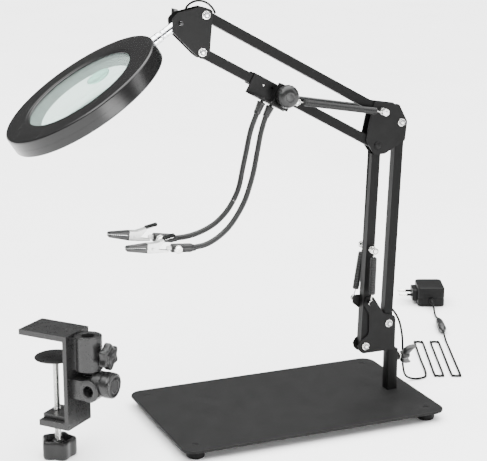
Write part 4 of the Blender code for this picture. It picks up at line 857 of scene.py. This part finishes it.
def dress_jaws(side, placed):
    wide, narrow, wall, jaw = 0.0068, 0.0046, 0.0006, 0.027
    root = -0.0180
    bright, black = 0, 1
    lower_cheek = [(-0.0170, -0.0034), (-0.0060, -0.0042), (0.0052, -0.0044), (0.0052, -0.0006),
                   (0.0026, 0.0018),
                   (-0.0026, 0.0020), (-0.0060, -0.0012), (-0.0170, -0.0018)]
    lower_jaw = [(0.0052, -0.0044), (jaw - 0.0010, -0.0024), (jaw, -0.0014)]
    lower_jaw += toothed((jaw, -0.0002), (0.0052, -0.0004), 0.0007, 11, -1)
    parts = [*channel(lower_cheek, narrow, wall, placed, bright),
             *channel(lower_jaw, narrow, wall, placed, black),
             strip([(-0.0172, -0.0033), (-0.0060, -0.0041), (0.0052, -0.0043)], narrow, wall, placed, bright),
             strip([(0.0052, -0.0043), (jaw - 0.0010, -0.0023), (jaw - 0.0001, -0.0012),
                    (jaw - 0.0001, -0.0002)],
                   narrow, wall, placed, black)]
    tail = axes(placed @ Vector((root + 0.0006, 0, 0)), placed.to_3x3() @ Vector((-1, 0, 0)), (0, 1, 0))
    parts.append(lathe([(0, -0.0020), (0.0020, -0.0020), (0.0024, 0, 0.0004), (0.0023, 0.0018),
                        (0.0021, 0.0090, 0.0004), (0, 0.0092)], tail, 28))
    axle = axes(placed @ Vector((0, -0.0046, 0)), placed.to_3x3() @ Vector((0, 1, 0)), (0, 0, 1))
    parts.append(lathe([(0, 0), (0.0013, 0.0001, 0.0003), (0.0013, 0.0010), (0.0009, 0.0011),
                        (0.0009, 0.0081),
                        (0.0013, 0.0082), (0.0013, 0.0091, 0.0003), (0, 0.0092)], axle, 24))
    turns = []
    for k in range(5 * 16):
        a = 2 * pi * k / 16
        turns.append(placed @ Vector((0.0017 * cos(a), -0.0015 + 0.0006 * k / 16, 0.0017 * sin(a))))
    turns += [placed @ Vector((-0.0060, 0.0016, 0.0034)), placed @ Vector((-0.0120, 0.0016, 0.0064))]
    parts.append(tube(turns, 0.00028, 7))
    piece(f"jaw_lower_{side}", merged(*parts), [NICKEL, CLIP_BLACK], f"{side}_clip",
          f"clip_lower_jaw_{side}", 30)
    cheek = [(0.0056, 0.0004), (0.0056, 0.0050), (-0.0014, 0.0054), (-0.0108, 0.0090), (-0.0114, 0.0074),
             (-0.0072, 0.0010), (-0.0046, -0.0028), (-0.0018, -0.0040), (0.0022, -0.0036)]
    upper_jaw = [(0.0056, 0.0050), (0.0056, 0.0006)]
    upper_jaw += toothed((0.0056, 0.0006), (jaw, 0.0004), 0.0007, 11, 1)
    upper_jaw += [(jaw, 0.0014), (jaw - 0.0012, 0.0024)]
    parts = [*channel(cheek, wide, wall, placed, bright),
             *channel(upper_jaw, wide, wall, placed, black),
             strip([(0.0056, 0.0049), (-0.0014, 0.0053), (-0.0104, 0.0088), (-0.0210, 0.0119)], wide, wall,
                   placed,
                   bright),
             strip([(0.0056, 0.0049), (jaw - 0.0012, 0.0023), (jaw - 0.0001, 0.0012),
                    (jaw - 0.0001, 0.0004)], wide,
                   wall, placed, black)]
    piece(f"jaw_upper_{side}", merged(*parts), [NICKEL, CLIP_BLACK], f"{side}_clip_jaw",
          f"clip_upper_jaw_{side}", 30)
    rings = []
    for k in range(41):
        t = k / 40
        x = -0.0108 - 0.0118 * t
        z = 0.0092 + 0.0042 * t
        rib = 0.00012 * (1 if k % 4 < 2 else -1) if 3 < k < 37 else 0
        end = 1 - 0.55 * max(0.0, (t - 0.93) / 0.07) ** 2
        rings.append([])
        for n in range(20):
            a = 2 * pi * n / 20
            across, up = (0.0035 + rib) * end * eased(cos(a), 0.6), (0.0017 + rib) * end * eased(sin(a), 0.75)
            rings[-1].append(placed @ Vector((x, across, z + up)))
    piece(f"jaw_grip_{side}", mesh_of(rings), RUBBER, f"{side}_clip_jaw", (), 60)


# ---------------------------------------------------------------- supply cord and adapter
CORD_LIES = CORD_RADIUS + 0.0002
CORD_ALONG = Vector((0.386, 0.923, 0))
CORD_SIDE = Vector((0.923, -0.386, 0))
CORD_STEPS = 8
CORD_DROP = [(0.0035, 0.0102, 1.137), (0.0038, 0.0155, 1.143), (0.0110, 0.0225, 1.130),
             (0.0235, 0.0280, 1.030),
             (0.0345, 0.0320, 0.860), (0.0405, 0.0345, 0.650), (0.0430, 0.0365, 0.440),
             (0.0445, 0.0380, 0.250),
             (0.0490, 0.0398, 0.094), (0.0580, 0.0408, 0.026), (0.0690, 0.0395, 0.016)]
FOLD_START = Vector((0.1990, 0.0400, CORD_LIES))
FOLD_RUN, FOLD_PITCH, FOLD_RUNS = 0.112, 0.0100, 5
CONNECTOR_RADIUS, CONNECTOR_LENGTH = 0.0052, 0.026
ADAPTER_SIZE = (0.036, 0.046, 0.026)
LEAD_LENGTH = 0.052


def folded_runs():
    points = []
    for k in range(FOLD_RUNS):
        near = FOLD_START + CORD_SIDE * FOLD_PITCH * k
        run = [near, near + CORD_ALONG * FOLD_RUN * 0.5, near + CORD_ALONG * FOLD_RUN]
        way = 1
        if k % 2:
            run.reverse()
            way = -1
        points += run
        if k < FOLD_RUNS - 1:
            middle = run[-1] + CORD_SIDE * FOLD_PITCH / 2
            for turn in (45, 90, 135):
                a = radians(turn)
                points.append(middle + FOLD_PITCH / 2 * (way * sin(a) * CORD_ALONG - cos(a) * CORD_SIDE))
    return points


def dress_supply():
    foot = REAR - SHIFT
    drop = [Vector((foot.x + x, foot.y + y, max(foot.z * part, CORD_LIES))) for x, y, part in CORD_DROP]
    folds = folded_runs()
    last = folds[-1]
    start = Vector((last.x, last.y, 0)) + CORD_ALONG * 0.034 + Vector((0, 0, CONNECTOR_RADIUS + 0.0002))
    rise = [last + CORD_ALONG * 0.012, start - CORD_ALONG * 0.010 - Vector((0, 0, 0.0018)),
            start - CORD_ALONG * (0.0002 + GAP)]
    path = [p + SHIFT for p in curve_through([*drop, *folds, *rise], CORD_STEPS)]
    start += SHIFT
    cord = piece("supply_cord", tube(path, CORD_RADIUS, 12), RUBBER, None, "lamp_cord", 80)
    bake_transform(cord)
    grip = [(0, 0), (0.0021, 0, 0.0004), (0.0024, 0.0012, 0.0004), (0.0040, 0.0060, 0.0010),
            (CONNECTOR_RADIUS, 0.0078, 0.0010)]
    for k in range(4):
        z = 0.0100 + 0.0022 * k
        grip += [(CONNECTOR_RADIUS, z, 0.0003), (0.0049, z + 0.0004, 0.0002), (0.0049, z + 0.0010, 0.0002),
                 (CONNECTOR_RADIUS, z + 0.0014, 0.0003)]
    grip += [(CONNECTOR_RADIUS, CONNECTOR_LENGTH, 0.0006), (0.0030, CONNECTOR_LENGTH), (0.0030, 0.0160),
             (0, 0.0160)]
    socket = piece("cord_socket", lathe(grip, axes(start, CORD_ALONG, (0, 0, 1)), 40), KNOB_PLASTIC, "base",
                   "dc_socket")
    joint = start + CORD_ALONG * (CONNECTOR_LENGTH + GAP)
    shape = [(0, -0.0090), (0.0027, -0.0090, 0.0003), (0.0027, 0), (CONNECTOR_RADIUS, 0, 0.0005),
             (CONNECTOR_RADIUS, 0.0040, 0.0004), (0.0048, 0.0048, 0.0004), (0.0048, 0.0120, 0.0010),
             (0.0040, 0.0160, 0.0010), (0.0024, 0.0230, 0.0006), (0.0021, 0.0240, 0.0004), (0, 0.0240)]
    plug = piece("cord_plug", lathe(shape, axes(joint, CORD_ALONG, (0, 0, 1)), 40), KNOB_PLASTIC, "base",
                 "dc_plug")
    relief_path = [path[0] - Vector((0, 0.0004, 0)), *path[1:12]]
    relief = tube(relief_path, lambda i, run: 0.0027 - 0.09 * min(run, 0.012) - (0.0002 if i % 2 else 0), 20)
    relief = piece("cord_relief", relief, RUBBER, None, (), 50)
    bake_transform(relief)
    dress_adapter(joint + CORD_ALONG * 0.024)


def dress_adapter(lead_start):
    width, length, height = ADAPTER_SIZE
    neck = lead_start + CORD_ALONG * LEAD_LENGTH
    neck.z = height * 0.34
    centre = neck + CORD_ALONG * (0.0160 + length / 2)
    centre.z = height / 2 + 0.0002
    route = [lead_start + CORD_ALONG * GAP, lead_start + CORD_ALONG * 0.008, lead_start + CORD_ALONG * 0.019,
             lead_start + CORD_ALONG * 0.032, neck - CORD_ALONG * 0.009, neck - CORD_ALONG * GAP]
    for k, height_now in ((1, 0.0042), (2, 0.0022), (3, 0.0022), (4, 0.0068)):
        route[k] = Vector((route[k].x, route[k].y, height_now))
    path = curve_through(route, CORD_STEPS)
    lead = piece("adapter_cable", tube(path, CORD_RADIUS, 12), RUBBER, "base", "adapter_lead", 80)
    outline = softened(box_outline(width / 2, length / 2, 0.006), 8)
    placed = axes(centre, (0, 0, 1), CORD_SIDE)
    half = height / 2
    parts = [round_prism(outline, -half, -half + 0.0118, placed, 0.0022, 6),
             round_prism(outline, -half + 0.0112, half, placed, 0.0022, 6)]
    seam = [p * 0.985 for p in outline]
    parts.append(prism(seam, -half + 0.009, -half + 0.014, placed))
    relief = [(0, 0.0004), (0.0019, 0, 0.0003)]
    for k in range(5):
        z, r = 0.0014 + 0.0022 * k, 0.0021 + 0.00028 * k
        relief += [(r, z, 0.0001), (r - 0.0005, z + 0.0004), (r - 0.0005, z + 0.0009),
                   (r, z + 0.0013, 0.0001)]
    relief += [(0.0034, 0.0130, 0.0004), (0.0034, 0.0190), (0, 0.0190)]
    parts.append(lathe(relief, axes(neck, CORD_ALONG, (0, 0, 1)), 32))
    side = axes(centre - CORD_SIDE * (width / 2 - 0.002), -CORD_SIDE, (0, 0, 1))
    shoulder = softened(box_outline(0.008, 0.014, 0.004), 6)
    parts.append(round_prism(shoulder, 0, 0.0085, side, 0.0010, 4))
    pins = []
    for sign in (-1, 1):
        root = axes(side @ Vector((0, sign * 0.0095, 0.0080)), -CORD_SIDE, (0, 0, 1))
        parts.append(lathe([(0, 0), (0.0021, 0.0002), (0.0018, 0.0020, 0.0003), (0.0018, 0.0085, 0.0002),
                            (0, 0.0086)], root, 24))
        pins.append(lathe([(0, 0.0080), (0.0020, 0.0080, 0.0002), (0.0020, 0.0172, 0.0010),
                           (0.0012, 0.0184, 0.0006), (0, 0.0186)], root, 24))
    piece("adapter_body", merged(*parts), SOFT_PLASTIC, "base", "adapter_case", 40)
    piece("adapter_pins", merged(*pins), PIN_METAL, "base")


# ---------------------------------------------------------------- loose desk clamp
CLAMP = axes(Vector((-0.2595, -0.0170, 0)) + SHIFT, (0, 0, 1), (cos(radians(130)), sin(radians(130)), 0))
CLAMP_BACK = -0.0270       # the back plate's outer face, from the screw
CLAMP_HIGH = 0.1355
LUG_OUT, LUG_HIGH = 0.0205, CLAMP_HIGH - 0.0545


def dress_clamp():
    refined("desk_clamp_frame", CAST, "clamp", 0.0008, 32)
    bore = CLAMP @ Matrix.Translation((CLAMP_BACK - 0.0125, 0, CLAMP_HIGH - 0.0020))
    rim = [(0.0069, -0.0015), (0.0070, 0.0003, 0.0003), (0.0116, 0.0003, 0.0006), (0.0120, -0.0010)]
    piece("clamp_socket_rim", lathe(rim, bore, 56, ring=True), CAST, "clamp")
    lug = CLAMP @ Vector((CLAMP_BACK - LUG_OUT, 0, LUG_HIGH))
    for sign, flip in (("near", -1), ("far", 1)):
        face = axes(lug, CLAMP.to_3x3() @ Vector((0, flip, 0)),
                    (0, 0, 1)) @ Matrix.Translation((0, 0, 0.0144))
        shape = [(0.0059, -0.0010), (0.0060, 0.0003, 0.0003), (0.0078, 0.0006, 0.0004),
                 (0.0108, 0.0003, 0.0006),
                 (0.0112, -0.0010)]
        piece(f"clamp_lug_rim_{sign}", lathe(shape, face, 48, ring=True), CAST, "clamp")
    tip = axes(CLAMP @ Vector((CLAMP_BACK - 0.0415, 0, LUG_HIGH + 0.0050)),
               CLAMP.to_3x3() @ Vector((-1, 0, 0)),
               (0, 0, 1))
    cap = [(0.0062, -0.0020), (0.0062, 0.0006, 0.0004), (0.0080, 0.0012, 0.0008), (0.0116, 0.0007, 0.0014),
           (0.0130, -0.0020, 0.0012), (0.0132, -0.0090, 0.0020), (0.0120, -0.0130, 0.0010), (0.0062, -0.0130)]
    piece("clamp_barrel_cap", lathe(cap, tip, 64, ring=True), CAST, "clamp")
    # A dark disc plugging the barrel cap's mouth: painted shade in place of the shadow inside the bore.
    shade_disc = [(0, 0.0002), (0.0061, 0.0002), (0.0061, -0.0020), (0, -0.0020)]
    piece("clamp_barrel_bore_shade", lathe(shade_disc, tip, 40), BORE_SHADE_PAINT, "clamp")
    dress_clamp_screw()
    dress_clamp_thumb()


def threaded(radius, low, high, pitch, depth, placed, steps=28):
    """A rod with a helical thread."""
    rows = int((high - low) / pitch * 6)
    rings = [pole(placed, low)]
    for i in range(rows + 1):
        z = low + (high - low) * i / rows
        phases = [(z / pitch - k / steps) % 1.0 for k in range(steps)]
        reaches = [radius - depth * (1 - abs(2 * phase - 1)) ** 0.8 for phase in phases]
        rings.append(circle(placed, reaches.__getitem__, z, steps))
    return mesh_of([*rings, pole(placed, high)])


def dress_clamp_screw():
    under = CLAMP_HIGH - 0.0055 - 0.024
    outline = lobes(0.0185, 0.0036, 5, 120, 0.8)
    rows = [(0.0008, 0.55), (0.0, 0.90), (0.0005, 0.955), (0.0016, 0.985), (0.0040, 1.0), (0.0150, 1.0),
            (0.0172, 0.985), (0.0182, 0.955), (0.0185, 0.90), (0.0185, 0.78), (0.0179, 0.74), (0.0140, 0.70),
            (0.0120, 0.64)]
    boss = [(0, 0.0110), (0.0068, 0.0110), (0.0060, 0.0164, 0.0010), (0.0040, 0.0168), (0, 0.0168)]
    knob = merged(stacked(outline, rows, CLAMP, 0.0008, 0.0120), lathe(boss, CLAMP, 40))
    piece("clamp_star_knob", knob, KNOB_PLASTIC, "clamp_screw", (), 40)
    rod = threaded(0.0032, 0.0160, under - 0.0031, 0.0012, 0.00034, CLAMP)
    piece("clamp_rod", rod, ZINC, "clamp_screw", "desk_clamp_screw", 60)
    disc = [(0, under - 0.0026), (0.0070, under - 0.0027), (0.0180, under - 0.0022, 0.0008),
            (0.0212, under - 0.0010, 0.0005), (0.0206, under - 0.0001, 0.0004), (0, under)]
    piece("clamp_pad", lathe(disc, CLAMP, 64), CAST, "clamp_disc", "desk_clamp_disc", 40)
    collar = [(0.0036, under - 0.0066), (0.0050, under - 0.0066, 0.0004), (0.0056, under - 0.0048, 0.0004),
              (0.0086, under - 0.0036, 0.0005), (0.0090, under - 0.0025), (0.0036, under - 0.0025)]
    piece("clamp_pad_collar", lathe(collar, CLAMP, 48, ring=True), ZINC, "clamp_disc", (), 40)


def dress_clamp_thumb():
    seat = joint_at("clamp_thumb_turn")
    outward = Vector(JOINTS["clamp_thumb_turn"]["axis"])
    placed = axes(seat, outward, (0, 0, 1))
    outline = lobes(0.0140, 0.0034, 6, 120, 0.75)
    rows = [(0.0044, 0.62), (0.0046, 0.86), (0.0053, 0.95), (0.0066, 1.0), (0.0108, 1.0), (0.0122, 0.95),
            (0.0129, 0.86), (0.0130, 0.58), (0.0124, 0.50), (0.0121, 0.34)]
    star = stacked(outline, rows, placed, 0.0044, 0.0121)
    hub = [(0, 0.0012), (0.0060, 0.0012, 0.0005), (0.0072, 0.0046, 0.0010), (0.0072, 0.0060), (0, 0.0060)]
    piece("thumb_star", merged(star, lathe(hub, placed, 48)), KNOB_PLASTIC, "clamp_thumb",
          "desk_clamp_thumb_screw", 40)
    piece("thumb_thread", threaded(0.0023, -0.0063, 0.0014, 0.0008, 0.0002, placed, 24), ZINC, "clamp_thumb",
          (), 60)


# ---------------------------------------------------------------- the shot
def dress_stage():
    floor = bpy.data.meshes.new("floor")
    floor.from_pydata([(-14, -6, 0), (14, -6, 0), (14, 24, 0), (-14, 24, 0)], [], [(0, 1, 2, 3)])
    floor.materials.append(finish("studio_floor", "white_board", (0.90, 0.90, 0.90), (0.93, 0.93, 0.93),
                                  (0.55, 0.62), mottle=3, grain=120, bump=0.01, depth=0.0001))
    made = bpy.data.objects.new("floor", floor)
    made.location.z = -0.0002
    bpy.context.scene.collection.objects.link(made)


def add_light(name, place, towards, size, power):
    data = bpy.data.lights.new(name, "AREA")
    data.shape = "RECTANGLE"
    data.size, data.size_y = size
    data.energy = power
    made = bpy.data.objects.new(name, data)
    made.location = place
    made.rotation_mode = "QUATERNION"
    made.rotation_quaternion = (Vector(towards) - Vector(place)).to_track_quat("-Z", "Y")
    bpy.context.scene.collection.objects.link(made)


def light_and_camera():
    middle = Vector((0.03, 0.03, 0.2))
    add_light("key", (-1.7, -1.6, 2.3), middle, (1.5, 1.1), 60)
    add_light("side", (2.1, -1.2, 1.3), middle, (0.7, 1.6), 26)
    add_light("low", RING + Vector((0.30, -0.84, -0.12)), RING, (0.42, 0.30), 5.0)
    world = bpy.data.worlds.new("studio")
    bpy.context.scene.world = world
    world.use_nodes = True
    tree = world.node_tree
    sky = tree.nodes["Background"]
    way = node(tree, "ShaderNodeTexCoord").outputs["Generated"]
    split = node(tree, "ShaderNodeSeparateXYZ")
    tree.links.new(way, split.inputs[0])
    rise = spread(tree, split.outputs["Z"], 0.16, 10.0, 0.52, 0.90, interpolation_type="SMOOTHSTEP")
    backdrop = node(tree, "ShaderNodeMix", data_type="FLOAT")
    backdrop.inputs[3].default_value = 4.5
    tree.links.new(node(tree, "ShaderNodeLightPath").outputs["Is Camera Ray"], backdrop.inputs[0])
    tree.links.new(rise, backdrop.inputs[2])
    tree.links.new(backdrop.outputs[0], sky.inputs["Strength"])
    sky.inputs["Color"].default_value = (1.0, 1.0, 1.0, 1)
    lens = bpy.data.cameras.new("camera")
    lens.sensor_width = 36.0
    lens.lens = 105.06
    lens.clip_start, lens.clip_end = 0.05, 60
    camera = bpy.data.objects.new("camera", lens)
    bpy.context.scene.collection.objects.link(camera)
    target = Vector((-0.0346, 0.0350, 0.2)) + SHIFT
    camera.location = target + 1.5225 * Vector((-0.37335, -0.89297, 0.25147))
    camera.rotation_mode = "QUATERNION"
    camera.rotation_quaternion = (target - camera.location).to_track_quat("-Z", "Y")
    bpy.context.scene.camera = camera


dress_base()
dress_post_screw()
dress_lower_arm()
dress_elbow()
dress_upper_arm()
dress_head()
dress_knuckle()
dress_ring()
dress_holder()
dress_arm("rear")
dress_arm("front")
dress_supply()
dress_clamp()
dress_stage()
light_and_camera()

bpy.context.view_layer.update()
